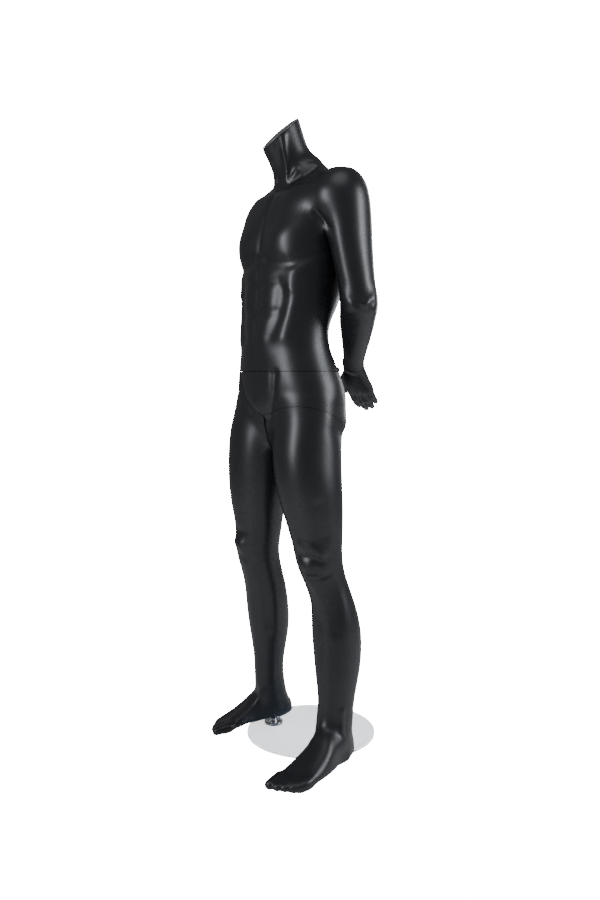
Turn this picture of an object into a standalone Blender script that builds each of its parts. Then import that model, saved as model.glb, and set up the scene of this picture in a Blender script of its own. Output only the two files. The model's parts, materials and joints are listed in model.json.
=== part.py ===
"""Headless full body mannequin on a round glass base.

Metres, +Z up. The origin is the centre of the glass disc's underside. The figure faces -Y and its left is +X.
The shells are cut from one smooth body surface: cross sections along each limb, blended, with muscles raised on them.
"""

import math

import bmesh
import bpy
import numpy as np
from mathutils import Matrix, Vector

# ---------- base ----------
DISC_RADIUS = 0.175
DISC_THICKNESS = 0.008
DISC_EDGE = 0.0012
ROD_CENTRE = (-0.098, -0.055)
ROD_RADIUS = 0.006
ROD_TOP = 0.108
FLANGE_RADIUS = 0.026
FLANGE_THICKNESS = 0.0045
GASKET_THICKNESS = 0.001
COLLAR_RADIUS = 0.0105
COLLAR_HEIGHT = 0.009
STUD_RING_RADIUS = 0.0165
STUD_RADIUS = 0.0032
STUD_HEIGHT = 0.012
BOLT_HEAD_RADIUS = 0.0095
BOLT_RADIUS = 0.004

# ---------- figure ----------
FIGURE = np.array([0.044, -0.110, 0.0])
WAIST_HEIGHT = 0.987
CHEST_TOP = 1.33
ARM_CUT_FLOOR = 1.17
NECK_CUT_POINT = np.array([-0.006, -0.024, 1.565])
NECK_CUT_NORMAL = np.array([-0.266, -0.845, 1.0])
NECK_CAP_THICKNESS = 0.004
NECK_CAP_INSET = 0.0012
SHOULDER_NORMAL = np.array([0.940, 0.340, 0.073])
SHOULDER_POINT = np.array([0.1325, 0.034, 1.400])
HIP_NORMAL = np.array([-0.25, 0.38, 1.0])
HIP_POINT = np.array([0.085, 0.010, 0.861])
LEFT_SHOULDER = (0.173, 0.036, 1.412)
LEFT_ELBOW = (0.203, 0.058, 1.150)
LEFT_WRIST = (0.066, 0.162, 1.004)
RIGHT_SHOULDER = (-0.156, 0.047, 1.382)
RIGHT_ELBOW = (-0.228, 0.068, 1.150)
RIGHT_WRIST = (-0.126, 0.146, 0.975)
LEFT_HEEL = (0.151, 0.067, 0.0092)
LEFT_TOE = (0.206, -0.197, 0.0092)
RIGHT_HEEL = (-0.133, 0.105, 0.0290)
RIGHT_TOE = (-0.170, -0.140, 0.0160)

# ---------- shells ----------
WALL = 0.008
END_WALL = 0.012
SEAM = 0.0010
FINE_SEAM = 0.0004
CLEARANCE = 0.0003
CAVITY_FLOOR = 0.145
ARM_HOLLOW_END = 0.075
SHELL_CELL = 0.010
CAVITY_CELL = 0.016
HAND_CELLS = (0.0030, 0.0032, 0.0028, 0.0034, 0.0026)
# Shares of the triangles that decimation keeps.
TORSO_KEEP = 0.10
LEGS_KEEP = 0.11
ARM_KEEP = 0.13
HAND_KEEP = 0.065
HOLLOW_KEEP = 0.12
CAP_KEEP = 0.3

# ---------- fittings ----------
WAIST_PLATE_RADIUS = 0.046
HIP_PLATE_RADIUS = 0.036
SHOULDER_PLATE_RADIUS = 0.028
PLATE_THICKNESS = 0.005
WRIST_BORE_RADIUS = 0.0105
WRIST_TUBE_LENGTH = 0.022
WRIST_STUD_RADIUS = 0.0070
HAND_STUD_DEPTH = 0.016
FOOT_TUBE_RADIUS = 0.0085
FOOT_TUBE_BOTTOM = 0.031
FOOT_TUBE_TOP = 0.112
CALF_HOLE = (-0.124, 0.270)
CALF_TUBE_RADIUS = 0.0080
CALF_TUBE_BORE = 0.0062
CALF_TUBE_LENGTH = 0.030

SATIN_BLACK = ((0.012, 0.012, 0.014, 1), 0.34, 0.0)
CHROME = ((0.80, 0.80, 0.82, 1), 0.12, 1.0)
STEEL = ((0.50, 0.50, 0.52, 1), 0.35, 1.0)
GLASS = ((0.78, 0.84, 0.88, 1), 0.03, 0.0)
RUBBER = ((0.03, 0.03, 0.03, 1), 0.80, 0.0)
CAP_GREY = ((0.10, 0.105, 0.11, 1), 0.30, 0.0)

# Torso sections: height, centre x, centre y, half sizes left, right, back and front, power of the superellipse.
TORSO_SECTIONS = (
    (0.800, 0, 0.010, 0.100, 0.100, 0.080, 0.070, 2.2),
    (0.845, 0, 0.012, 0.146, 0.146, 0.104, 0.084, 2.3),
    (0.885, 0, 0.008, 0.157, 0.166, 0.101, 0.094, 2.3),
    (0.930, 0, 0.003, 0.160, 0.163, 0.105, 0.100, 2.3),
    (0.985, 0, 0.000, 0.149, 0.149, 0.098, 0.102, 2.3),
    (1.040, 0, -0.005, 0.134, 0.134, 0.082, 0.097, 2.3),
    (1.090, 0, -0.006, 0.130, 0.129, 0.078, 0.094, 2.3),
    (1.150, 0, -0.002, 0.139, 0.132, 0.095, 0.092, 2.35),
    (1.220, 0, 0.004, 0.145, 0.139, 0.111, 0.094, 2.4),
    (1.290, 0, 0.010, 0.143, 0.143, 0.110, 0.096, 2.4),
    (1.350, 0, 0.016, 0.146, 0.146, 0.104, 0.090, 2.4),
    (1.400, 0, 0.022, 0.140, 0.140, 0.092, 0.078, 2.3),
    (1.440, 0, 0.028, 0.112, 0.092, 0.072, 0.056, 2.2),
    (1.475, 0, 0.032, 0.080, 0.062, 0.054, 0.046, 2.1),
    (1.500, 0, 0.028, 0.055, 0.055, 0.045, 0.045, 2.0),
)
NECK_BASE = (0.0, 0.040, 1.44)
NECK_TOP = (-0.006, -0.034, 1.61)
NECK_SECTIONS = (
    (-0.02, 0, 0, 0.062, 0.062, 0.054, 0.052, 2.1),
    (0.03, 0, 0, 0.056, 0.056, 0.054, 0.049, 2.1),
    (0.08, 0, 0, 0.051, 0.051, 0.052, 0.050, 2.1),
    (0.12, 0, 0, 0.050, 0.050, 0.052, 0.058, 2.1),
    (0.22, 0, 0, 0.052, 0.052, 0.058, 0.067, 2.1),
)
# Muscles from the neck and the breast to the shoulders, each a chain of points and radii; the left one first.
TRAPEZIUS = (
    (((0.030, 0.048, 1.500), 0.022), ((0.095, 0.044, 1.452), 0.024), ((0.150, 0.036, 1.438), 0.024)),
    (((-0.030, 0.048, 1.490), 0.022), ((-0.090, 0.048, 1.432), 0.024), ((-0.140, 0.044, 1.405), 0.024)),
)
PECTORAL = (
    (((0.152, 0.010, 1.398), 0.046), ((0.080, -0.006, 1.390), 0.046)),
    (((-0.120, 0.026, 1.380), 0.044), ((-0.080, 0.000, 1.380), 0.046)),
)
LEFT_LEG_SECTIONS = (
    (0.040, 0.147, 0.036, 0.032, 0.032, 0.034, 0.038, 2.1),
    (0.070, 0.147, 0.036, 0.036, 0.036, 0.040, 0.046, 2.1),
    (0.110, 0.147, 0.036, 0.040, 0.040, 0.045, 0.050, 2.1),
    (0.160, 0.146, 0.040, 0.042, 0.042, 0.048, 0.050, 2.0),
    (0.220, 0.140, 0.047, 0.050, 0.049, 0.058, 0.056, 2.0),
    (0.290, 0.131, 0.053, 0.058, 0.057, 0.066, 0.060, 2.05),
    (0.350, 0.125, 0.050, 0.060, 0.058, 0.067, 0.055, 2.1),
    (0.410, 0.119, 0.044, 0.056, 0.053, 0.059, 0.050, 2.1),
    (0.460, 0.114, 0.032, 0.052, 0.052, 0.054, 0.055, 2.15),
    (0.510, 0.111, 0.018, 0.054, 0.055, 0.054, 0.062, 2.15),
    (0.560, 0.107, 0.010, 0.060, 0.062, 0.062, 0.063, 2.1),
    (0.640, 0.102, -0.002, 0.072, 0.073, 0.076, 0.073, 2.1),
    (0.720, 0.097, -0.010, 0.078, 0.083, 0.083, 0.082, 2.1),
    (0.800, 0.091, -0.008, 0.079, 0.086, 0.084, 0.085, 2.15),
    (0.860, 0.086, -0.002, 0.081, 0.086, 0.086, 0.083, 2.15),
    (0.920, 0.080, 0.000, 0.078, 0.080, 0.085, 0.080, 2.15),
)
RIGHT_LEG_SECTIONS = (
    (0.060, -0.134, 0.046, 0.030, 0.030, 0.034, 0.030, 2.1),
    (0.090, -0.133, 0.042, 0.033, 0.033, 0.040, 0.036, 2.1),
    (0.130, -0.131, 0.034, 0.036, 0.036, 0.044, 0.040, 2.1),
    (0.180, -0.128, 0.028, 0.036, 0.036, 0.044, 0.040, 2.0),
    (0.240, -0.124, 0.026, 0.042, 0.042, 0.050, 0.045, 2.0),
    (0.300, -0.122, 0.022, 0.051, 0.052, 0.060, 0.050, 2.05),
    (0.360, -0.119, 0.014, 0.055, 0.056, 0.062, 0.050, 2.1),
    (0.420, -0.116, 0.006, 0.054, 0.055, 0.057, 0.052, 2.1),
    (0.470, -0.113, -0.006, 0.052, 0.052, 0.053, 0.056, 2.15),
    (0.520, -0.110, -0.016, 0.055, 0.054, 0.053, 0.061, 2.15),
    (0.570, -0.107, -0.020, 0.062, 0.058, 0.061, 0.060, 2.1),
    (0.650, -0.102, -0.028, 0.073, 0.069, 0.075, 0.066, 2.1),
    (0.730, -0.097, -0.028, 0.083, 0.078, 0.087, 0.074, 2.1),
    (0.800, -0.091, -0.022, 0.086, 0.083, 0.096, 0.080, 2.15),
    (0.860, -0.086, -0.012, 0.086, 0.084, 0.096, 0.083, 2.15),
    (0.920, -0.080, 0.000, 0.080, 0.078, 0.085, 0.080, 2.15),
)
# Arm sections run from the joint down the bone; the columns are as above, in the bone's own frame.
UPPER_ARM_SECTIONS = (
    (-0.048, 0, 0, 0.030, 0.030, 0.034, 0.034, 2.0),
    (-0.020, 0, 0, 0.047, 0.047, 0.052, 0.050, 2.0),
    (0.010, 0, 0, 0.053, 0.054, 0.058, 0.056, 2.1),
    (0.060, 0, 0, 0.052, 0.050, 0.061, 0.057, 2.1),
    (0.120, 0, 0, 0.048, 0.043, 0.057, 0.053, 2.1),
    (0.180, 0, 0, 0.045, 0.041, 0.051, 0.048, 2.05),
    (0.240, 0, 0, 0.042, 0.040, 0.045, 0.043, 2.05),
    (0.290, 0, 0, 0.038, 0.036, 0.038, 0.038, 2.0),
)
FOREARM_SECTIONS = (
    (-0.030, 0, 0, 0.036, 0.036, 0.036, 0.036, 2.0),
    (0.020, 0, 0, 0.043, 0.043, 0.041, 0.041, 2.1),
    (0.060, 0, 0, 0.044, 0.043, 0.039, 0.039, 2.1),
    (0.120, 0, 0, 0.037, 0.037, 0.034, 0.034, 2.1),
    (0.180, 0, 0, 0.030, 0.030, 0.027, 0.027, 2.1),
    (0.230, 0, 0, 0.026, 0.026, 0.021, 0.021, 2.2),
    (0.290, 0, 0, 0.026, 0.026, 0.020, 0.020, 2.2),
)
# Foot sections run from heel to toe: distance, centre out, centre up, half sizes outer, inner, up, down, power.
FOOT_LENGTH = 0.285
FOOT_SECTIONS = (
    (0.006, 0, 0.030, 0.022, 0.022, 0.020, 0.022, 2.2),
    (0.030, 0, 0.036, 0.031, 0.031, 0.036, 0.034, 2.3),
    (0.070, 0.001, 0.044, 0.037, 0.034, 0.038, 0.041, 2.3),
    (0.110, 0.003, 0.044, 0.047, 0.036, 0.042, 0.040, 2.3),
    (0.150, 0.005, 0.036, 0.050, 0.040, 0.033, 0.032, 2.3),
    (0.190, 0.004, 0.025, 0.049, 0.043, 0.024, 0.022, 2.4),
    (0.225, 0.002, 0.018, 0.047, 0.042, 0.015, 0.016, 2.4),
    (0.245, -0.001, 0.015, 0.041, 0.036, 0.011, 0.013, 2.3),
)
TOES = (
    ((-0.030, 0.018, 0.232), (-0.029, 0.0155, 0.272), 0.0150, 0.0125),
    ((-0.006, 0.017, 0.232), (-0.007, 0.0140, 0.268), 0.0115, 0.0100),
    ((0.011, 0.016, 0.228), (0.010, 0.0130, 0.258), 0.0110, 0.0095),
    ((0.027, 0.015, 0.220), (0.025, 0.0120, 0.246), 0.0105, 0.0090),
    ((0.041, 0.014, 0.210), (0.038, 0.0110, 0.232), 0.0105, 0.0085),
)
PALM_SECTIONS = (
    (-0.020, 0, 0, 0.026, 0.026, 0.019, 0.019, 2.2),
    (0.005, 0, 0, 0.027, 0.027, 0.018, 0.018, 2.2),
    (0.030, 0.002, 0, 0.033, 0.032, 0.016, 0.017, 2.4),
    (0.060, 0.002, 0, 0.039, 0.037, 0.014, 0.016, 2.5),
    (0.085, 0, 0, 0.039, 0.037, 0.011, 0.013, 2.5),
    (0.096, 0, 0, 0.036, 0.034, 0.008, 0.010, 2.4),
)
# Fingers from the thumb's side: knuckle across, knuckle along, length, radius.
FINGERS = (
    (0.0285, 0.078, 0.080, 0.0083),
    (0.0095, 0.082, 0.088, 0.0085),
    (-0.0095, 0.079, 0.082, 0.0082),
    (-0.0275, 0.072, 0.066, 0.0076),
)
FINGER_PARTS = (0.50, 0.28, 0.22)
THUMB = (
    ((0.018, -0.006, 0.020), 0.0140),
    ((0.042, -0.014, 0.052), 0.0115),
    ((0.052, -0.018, 0.082), 0.0098),
    ((0.054, -0.020, 0.104), 0.0080),
)
# Muscles and furrows on the trunk, as seen from the front or back: side, mirrored, points (x, z), radius, height.
RELIEF = (
    ("front", True, ((0.088, 1.302),), 0.055, 0.013),
    ("front", True, ((0.110, 1.335), (0.060, 1.310)), 0.040, 0.004),
    ("front", True, ((0.030, 1.256), (0.062, 1.246), (0.105, 1.240), (0.140, 1.268)), 0.015, -0.005),
    ("front", True, ((0.112, 1.222), (0.104, 1.188)), 0.018, 0.0045),
    ("front", True, ((0.040, 1.205), (0.046, 1.160)), 0.030, 0.0045),
    ("front", True, ((0.014, 1.196), (0.070, 1.204)), 0.011, -0.0025),
    ("front", True, ((0.014, 1.124), (0.066, 1.130)), 0.011, -0.0025),
    ("front", True, ((0.040, 1.100), (0.036, 1.040)), 0.030, 0.003),
    ("front", True, ((0.082, 1.180), (0.076, 1.125), (0.052, 1.070)), 0.016, -0.004),
    ("front", True, ((0.118, 1.175), (0.104, 1.120), (0.092, 1.070)), 0.020, 0.005),
    ("front", False, ((0.000, 1.405), (0.000, 1.280)), 0.010, -0.004),
    ("front", False, ((0.000, 1.235), (0.000, 1.060)), 0.007, -0.002),
    ("front", False, ((-0.095, 0.985), (-0.068, 0.925), (-0.036, 0.890), (0.004, 0.868)), 0.010, -0.007),
    ("front", False, ((0.066, 0.980), (0.058, 0.917), (0.034, 0.872)), 0.010, -0.006),
    ("front", False, ((-0.006, 0.905),), 0.034, 0.008),
    ("back", True, ((0.085, 1.360),), 0.060, 0.012),
    ("back", True, ((0.110, 1.250), (0.085, 1.160)), 0.050, 0.007),
    ("back", True, ((0.040, 1.100), (0.038, 1.010)), 0.028, 0.006),
    ("back", True, ((0.080, 0.895),), 0.070, 0.012),
    ("back", False, ((0.000, 1.480), (0.000, 1.020)), 0.018, -0.010),
    ("back", False, ((0.000, 0.960), (0.000, 0.850)), 0.016, -0.014),
)
BODY_BLEND = 0.060
LEG_BLEND = 0.030
FOOT_BLEND = 0.065
LEG_GAP_BLEND = 0.008
HAND_BLEND = 0.012
FOREARM_LENGTH = 0.230
WRIST_OVERLAP = 0.012
LEG_TURN = math.radians(2.5)


# ---------- the body as one smooth field, negative inside ----------
def unit(vector):
    vector = np.asarray(vector, float)
    return vector / np.linalg.norm(vector)


def smooth_min(a, b, blend):
    near = np.maximum(blend - np.abs(a - b), 0) / blend
    return np.minimum(a, b) - near**3 * blend / 6


def smooth_max(a, b, blend):
    return -smooth_min(-a, -b, blend)


def natural_spline(knots, values, samples):
    """The natural cubic spline through (knots, values), read at samples."""
    steps = np.diff(knots)
    system = np.eye(len(knots))
    bends = np.zeros_like(values)
    for i in range(1, len(knots) - 1):
        system[i, i - 1 : i + 2] = steps[i - 1], 2 * (steps[i - 1] + steps[i]), steps[i]
        slopes = (values[i + 1] - values[i]) / steps[i] - (values[i] - values[i - 1]) / steps[i - 1]
        bends[i] = 6 * slopes
    curves = np.linalg.solve(system, bends)
    i = np.clip(np.searchsorted(knots, samples) - 1, 0, len(knots) - 2)
    before, after, step = (samples - knots[i])[:, None], (knots[i + 1] - samples)[:, None], steps[i][:, None]
    cubic = (curves[i] * after**3 + curves[i + 1] * before**3) / (6 * step)
    start = (values[i] / step - curves[i] * step / 6) * after
    return cubic + start + (values[i + 1] / step - curves[i + 1] * step / 6) * before


def axes_along(start, end, front):
    """A frame at start whose third axis runs to end and whose second leans toward front."""
    along = unit(np.subtract(end, start))
    side = unit(np.cross(front, along))
    return np.asarray(start, float), np.array([side, np.cross(along, side), along])


def local(points, frame):
    origin, axes = frame
    return (points - origin) @ axes.T


def loft(sections, end_blend=0.02):
    """A field around sections stacked along the third axis."""
    table = np.array(sections, float)
    stops = np.linspace(table[0, 0], table[-1, 0], 800)
    smooth = natural_spline(table[:, 0], table[:, 1:], stops)
    middle, half = (stops[0] + stops[-1]) / 2, (stops[-1] - stops[0]) / 2

    def field(points):
        along = points[:, 2]
        centre_x, centre_y, left, right, back, front, power = (
            np.interp(along, stops, smooth[:, i]) for i in range(7)
        )
        x, y = points[:, 0] - centre_x, points[:, 1] - centre_y
        wide, deep = np.where(x > 0, left, right), np.where(y > 0, back, front)
        u, v = np.abs(x) / wide + 1e-9, np.abs(y) / deep + 1e-9
        total = u**power + v**power
        reach = total ** (1 / power)
        slope = np.hypot(u ** (power - 1) / wide, v ** (power - 1) / deep) * reach / total
        side = (reach - 1) / np.maximum(slope, 1 / np.maximum(wide, deep))
        return smooth_max(side, np.abs(along - middle) - half, end_blend)

    return field


def round_cone(points, start, end, start_radius, end_radius):
    start = np.asarray(start, float)
    run = np.asarray(end, float) - start
    share = np.clip(((points - start) @ run) / (run @ run), 0, 1)
    return np.linalg.norm(points - start - share[:, None] * run, axis=1) - (
        start_radius + (end_radius - start_radius) * share
    )


def chain(points, stops, blend):
    """Round cones through stops, each a point and a radius."""
    field = np.full(len(points), 1.0)
    for (start, start_radius), (end, end_radius) in zip(stops[:-1], stops[1:]):
        field = smooth_min(field, round_cone(points, start, end, start_radius, end_radius), blend)
    return field


def stroke(flat, path, radius, height):
    """A soft ridge or furrow along a path of (x, z) points."""
    path = np.array(path, float)
    if len(path) == 1:
        distance = np.linalg.norm(flat - path[0], axis=1)
        return height * np.exp(-((distance / radius) ** 2))
    distance = np.full(len(flat), 1.0)
    for start, end in zip(path[:-1], path[1:]):
        run = end - start
        share = np.clip(((flat - start) @ run) / (run @ run), 0, 1)
        distance = np.minimum(distance, np.linalg.norm(flat - start - share[:, None] * run, axis=1))
    return height * np.exp(-((distance / radius) ** 2))


torso_loft = loft(TORSO_SECTIONS)
neck_loft = loft(NECK_SECTIONS, 0.01)
neck_frame = axes_along(NECK_BASE, NECK_TOP, (0, 1, 0))
leg_lofts = {1: loft(LEFT_LEG_SECTIONS), -1: loft(RIGHT_LEG_SECTIONS)}
foot_ends = {1: (LEFT_HEEL, LEFT_TOE), -1: (RIGHT_HEEL, RIGHT_TOE)}
arm_joints = {
    1: (LEFT_SHOULDER, LEFT_ELBOW, LEFT_WRIST),
    -1: (RIGHT_SHOULDER, RIGHT_ELBOW, RIGHT_WRIST),
}
upper_arm_loft = loft(UPPER_ARM_SECTIONS, 0.03)
forearm_loft = loft(FOREARM_SECTIONS)
foot_loft = loft(FOOT_SECTIONS, 0.012)
palm_loft = loft(PALM_SECTIONS, 0.008)
# Each hand: direction of the fingers, the way its back faces, side of the thumb, lean of each of the thumb's
# bones, curl of each of a finger's bones, fullness of the fingers, spread of the fingers in degrees.
hands = {
    1: ((-0.293, 0.564, -0.797), (0.285, -0.683, -0.668), -1, 0.000, 0.156, 1.14, (1, 0, 0, -1)),
    -1: ((0.920, 0.000, -0.420), (0.000, -1.000, 0.000), 1, 0.004, 0.040, 1.0, (-5, 0, 7, 16)),
}


def trunk(points):
    field = smooth_min(torso_loft(points), neck_loft(local(points, neck_frame)), 0.03)
    for stops in (*TRAPEZIUS, *PECTORAL):
        field = smooth_min(field, chain(points, stops, 0.01), 0.04)
    facing = 1 / (1 + np.exp(points[:, 1] / 0.02))
    for where, mirrored, path, radius, height in RELIEF:
        share = facing if where == "front" else 1 - facing
        for side in (-1, 1) if mirrored else (1,):
            flat = points[:, [0, 2]] * (side, 1)
            field = field - share * stroke(flat, path, radius, height)
    return field


def arm(points, side):
    shoulder, elbow, wrist = arm_joints[side]
    upper = upper_arm_loft(local(points, axes_along(shoulder, elbow, (0, 1, 0))) * (side, 1, 1))
    size = np.linalg.norm(np.subtract(wrist, elbow)) / FOREARM_LENGTH
    inner = local(points, axes_along(elbow, wrist, (-0.6 * side, 0.8, 0))) / (1, 1, size)
    lower = smooth_max(forearm_loft(inner), inner[:, 2] - FOREARM_LENGTH - WRIST_OVERLAP, 0.01)
    return smooth_min(upper, lower, 0.03)


def leg(points, side):
    heel, toe = foot_ends[side]
    size = np.linalg.norm(np.subtract(toe, heel)) / FOOT_LENGTH
    inner = local(points, axes_along(heel, toe, (0, 0, 1))) * (side, 1, 1) / size
    foot = foot_loft(inner)
    for start, end, start_radius, end_radius in TOES:
        foot = smooth_min(foot, round_cone(inner, start, end, start_radius, end_radius), 0.018)
    return smooth_min(leg_lofts[side](points), foot * size, FOOT_BLEND)


def hand_place(points, side):
    direction, back, thumb_side = hands[side][:3]
    wrist = np.array(arm_joints[side][2])
    return local(points, axes_along(wrist, wrist + unit(direction), back)) * (thumb_side, 1, 1)


def hand(points, side):
    inner = hand_place(points, side)
    field = palm_loft(inner)
    lean, curl, fullness, spread = hands[side][3:]
    for (across, along, length, radius), angle in zip(FINGERS, spread):
        turn, bend = math.radians(-angle), 0.0
        stops = [(np.array([across, 0, along]), radius * fullness * 1.05)]
        for share, thinner in zip(FINGER_PARTS, (1.0, 0.95, 0.80)):
            bend += curl
            step = np.array([math.sin(turn) * math.cos(bend), -math.sin(bend), math.cos(turn) * math.cos(bend)])
            stops.append((stops[-1][0] + step * length * share, radius * fullness * thinner))
        field = smooth_min(field, chain(inner, stops, 0.004), 0.006)
    thumb = [(np.add(point, (lean * i, 0, 0)), radius) for i, (point, radius) in enumerate(THUMB)]
    return smooth_min(field, chain(inner, thumb, 0.004), 0.010)


def above_chest(points):
    return CHEST_TOP - points[:, 2]


def upper_body(points):
    field = trunk(points)
    for side in (-1, 1):
        field = smooth_min(field, np.maximum(arm(points, side), above_chest(points)), BODY_BLEND)
    return field


def whole_arm(points, side):
    field = smooth_min(arm(points, side), np.maximum(trunk(points), above_chest(points)), BODY_BLEND)
    return smooth_min(field, palm_loft(hand_place(points, side)), HAND_BLEND)


def whole_hand(points, side):
    return smooth_min(arm(points, side), hand(points, side), HAND_BLEND)


def lower_body(points):
    legs = smooth_min(leg(points, 1), leg(points, -1), LEG_GAP_BLEND)
    return smooth_min(trunk(points), legs, LEG_BLEND)


# ---------- fields to meshes ----------
def surface(field, low, high, cell):
    """The quads of the field's zero surface, one vertex for each cell that it crosses."""
    low = np.array(low, float)
    count = np.ceil((np.array(high) - low) / cell).astype(int) + 1
    axes = [low[i] + cell * np.arange(count[i]) for i in range(3)]
    grid = np.stack(np.meshgrid(*axes, indexing="ij"), -1).reshape(-1, 3)
    value = field(grid).reshape(count)
    inside = value < 0
    corners = [np.array((i, j, k)) for i in (0, 1) for j in (0, 1) for k in (0, 1)]
    filled = sum(
        inside[tuple(slice(corner[i], count[i] - 1 + corner[i]) for i in range(3))].astype(int) for corner in corners
    )
    active = (filled > 0) & (filled < 8)
    index = np.full(active.shape, -1)
    index[active] = np.arange(active.sum())
    cells = np.argwhere(active)
    total, crossed = np.zeros((len(cells), 3)), np.zeros(len(cells))
    for start in corners:
        for axis in range(3):
            if start[axis]:
                continue
            end = start + np.eye(3, dtype=int)[axis]
            before, after = value[tuple((cells + start).T)], value[tuple((cells + end).T)]
            crosses = (before < 0) != (after < 0)
            share = np.where(crosses, before / np.where(crosses, before - after, 1), 0)
            total[crosses] += (start + share[:, None] * (end - start))[crosses]
            crossed[crosses] += 1
    points = low + cell * (cells + total / crossed[:, None])
    quads = []
    for axis in range(3):
        near, far = [slice(None)] * 3, [slice(None)] * 3
        near[axis], far[axis] = slice(0, -1), slice(1, None)
        edges = np.argwhere(inside[tuple(near)] != inside[tuple(far)])
        first, second = (np.eye(3, dtype=int)[other] for other in range(3) if other != axis)
        others = [other for other in range(3) if other != axis]
        held = np.all((edges[:, others] > 0) & (edges[:, others] < count[others] - 1), axis=1)
        edges = edges[held]
        ring = (edges - first - second, edges - second, edges, edges - first)
        quad = np.stack([index[tuple(corner.T)] for corner in ring], 1)
        leaving = inside[tuple(edges.T)]
        flipped = leaving if axis == 1 else ~leaving
        quad[flipped] = quad[flipped][:, ::-1]
        quads.append(quad)
    return settle(field, points, cell), np.concatenate(quads)


def settle(field, points, cell):
    """Moves points onto the zero surface along its gradient."""
    nudge = 0.1 * cell
    for _ in range(2):
        steps = nudge * np.eye(3)
        gradient = np.stack([(field(points + s) - field(points - s)) / (2 * nudge) for s in steps], 1)
        squared = np.maximum((gradient**2).sum(1), 0.05)
        move = (field(points) / squared)[:, None] * gradient
        length = np.linalg.norm(move, axis=1, keepdims=True)
        points = points - move * np.minimum(1, 0.6 * cell / np.maximum(length, 1e-12))
    return points


def solid_mesh(field, low, high, cell, keep):
    """A decimated mesh of a field, in world coordinates."""
    points, quads = surface(field, low, high, cell)
    mesh = bpy.data.meshes.new("surface")
    mesh.from_pydata((points + FIGURE).tolist(), [], quads.tolist())
    holder = bpy.data.objects.new("surface", mesh)
    bpy.context.scene.collection.objects.link(holder)
    modifier = holder.modifiers.new("Fewer", "DECIMATE")
    modifier.ratio = keep
    graph = bpy.context.evaluated_depsgraph_get()
    result = bpy.data.meshes.new_from_object(holder.evaluated_get(graph))
    bpy.data.objects.remove(holder)
    return result


def cut(shape, point, normal, above=0.0):
    """Cuts away what is higher than above and in front of a plane in figure coordinates, and closes the face."""
    place = Vector(point + FIGURE)
    faces = [face for face in shape.faces if all(vertex.co.z > above for vertex in face.verts)]
    geometry = list({part for face in faces for part in (*face.verts, *face.edges)}) + faces
    bmesh.ops.bisect_plane(
        shape, geom=geometry, dist=1e-6, plane_co=place, plane_no=Vector(normal), clear_outer=True
    )
    facing = Vector(normal).normalized()
    rim = [
        edge
        for edge in shape.edges
        if edge.is_boundary and all(abs((vertex.co - place).dot(facing)) < 1e-5 for vertex in edge.verts)
    ]
    bmesh.ops.holes_fill(shape, edges=rim, sides=0)


# ---------- objects ----------
materials = {}


def material(look):
    if look not in materials:
        colour, roughness, metallic = look
        made = bpy.data.materials.new("look_" + str(len(materials) + 1))
        made.use_nodes = True
        shader = made.node_tree.nodes["Principled BSDF"]
        shader.inputs["Base Color"].default_value = colour
        shader.inputs["Roughness"].default_value = roughness
        shader.inputs["Metallic"].default_value = metallic
        if look == GLASS:
            shader.inputs["Transmission Weight"].default_value = 0.95
        made.diffuse_color = colour
        materials[look] = made
    return materials[look]


def add(name, shape, look, pivot=(0, 0, 0), parent=None):
    """Makes an object of a bmesh in world coordinates, with its origin on its joint."""
    mesh = bpy.data.meshes.new(name)
    shape.transform(Matrix.Translation(-Vector(pivot)))
    shape.normal_update()
    bmesh.ops.recalc_face_normals(shape, faces=shape.faces)
    shape.to_mesh(mesh)
    shape.free()
    piece = bpy.data.objects.new(name, mesh)
    bpy.context.scene.collection.objects.link(piece)
    piece.location = pivot
    if look is None:
        piece.hide_render = True
        piece.display_type = "WIRE"
    else:
        mesh.materials.append(material(look))
        mesh.shade_smooth()
        mesh.set_sharp_from_angle(angle=math.radians(35))
    return piece


def boolean(piece, cutter, operation="DIFFERENCE"):
    modifier = piece.modifiers.new(cutter.name, "BOOLEAN")
    modifier.object = cutter
    modifier.operation = operation
    modifier.solver = "EXACT"


def turned(profile, point=(0, 0, 0), axis=(0, 0, 1), sides=24):
    """A shape turned about an axis, from (radius, height) points that start and end on the axis."""
    shape = bmesh.new()
    rings = []
    for radius, height in profile:
        if radius == 0:
            rings.append([shape.verts.new((0, 0, height))])
            continue
        angles = [2 * math.pi * i / sides for i in range(sides)]
        rings.append([shape.verts.new((radius * math.cos(a), radius * math.sin(a), height)) for a in angles])
    for low, high in zip(rings[:-1], rings[1:]):
        for i in range(sides):
            j = (i + 1) % sides
            corners = [low[i % len(low)], low[j % len(low)], high[j % len(high)], high[i % len(high)]]
            shape.faces.new(list(dict.fromkeys(corners)))
    place(shape, point, axis)
    return shape


def tube(profile, point=(0, 0, 0), axis=(0, 0, 1), sides=24):
    """A ring turned about an axis, from a closed outline of (radius, height) points."""
    shape = bmesh.new()
    rings = [
        [
            shape.verts.new((r * math.cos(2 * math.pi * i / sides), r * math.sin(2 * math.pi * i / sides), h))
            for i in range(sides)
        ]
        for r, h in profile
    ]
    for low, high in zip(rings, rings[1:] + rings[:1]):
        for i in range(sides):
            j = (i + 1) % sides
            shape.faces.new([low[i], low[j], high[j], high[i]])
    place(shape, point, axis)
    return shape


def place(shape, point, axis):
    turn = Vector((0, 0, 1)).rotation_difference(Vector(axis)).to_matrix().to_4x4()
    shape.transform(Matrix.Translation(Vector(point)) @ turn)


def rod(radius, low, high, point=(0, 0, 0), axis=(0, 0, 1), sides=24):
    return turned(((0, low), (radius, low), (radius, high), (0, high)), point, axis, sides)


def ring(inner, outer, low, high, point=(0, 0, 0), axis=(0, 0, 1), sides=24):
    return tube(((inner, low), (outer, low), (outer, high), (inner, high)), point, axis, sides)


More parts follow.
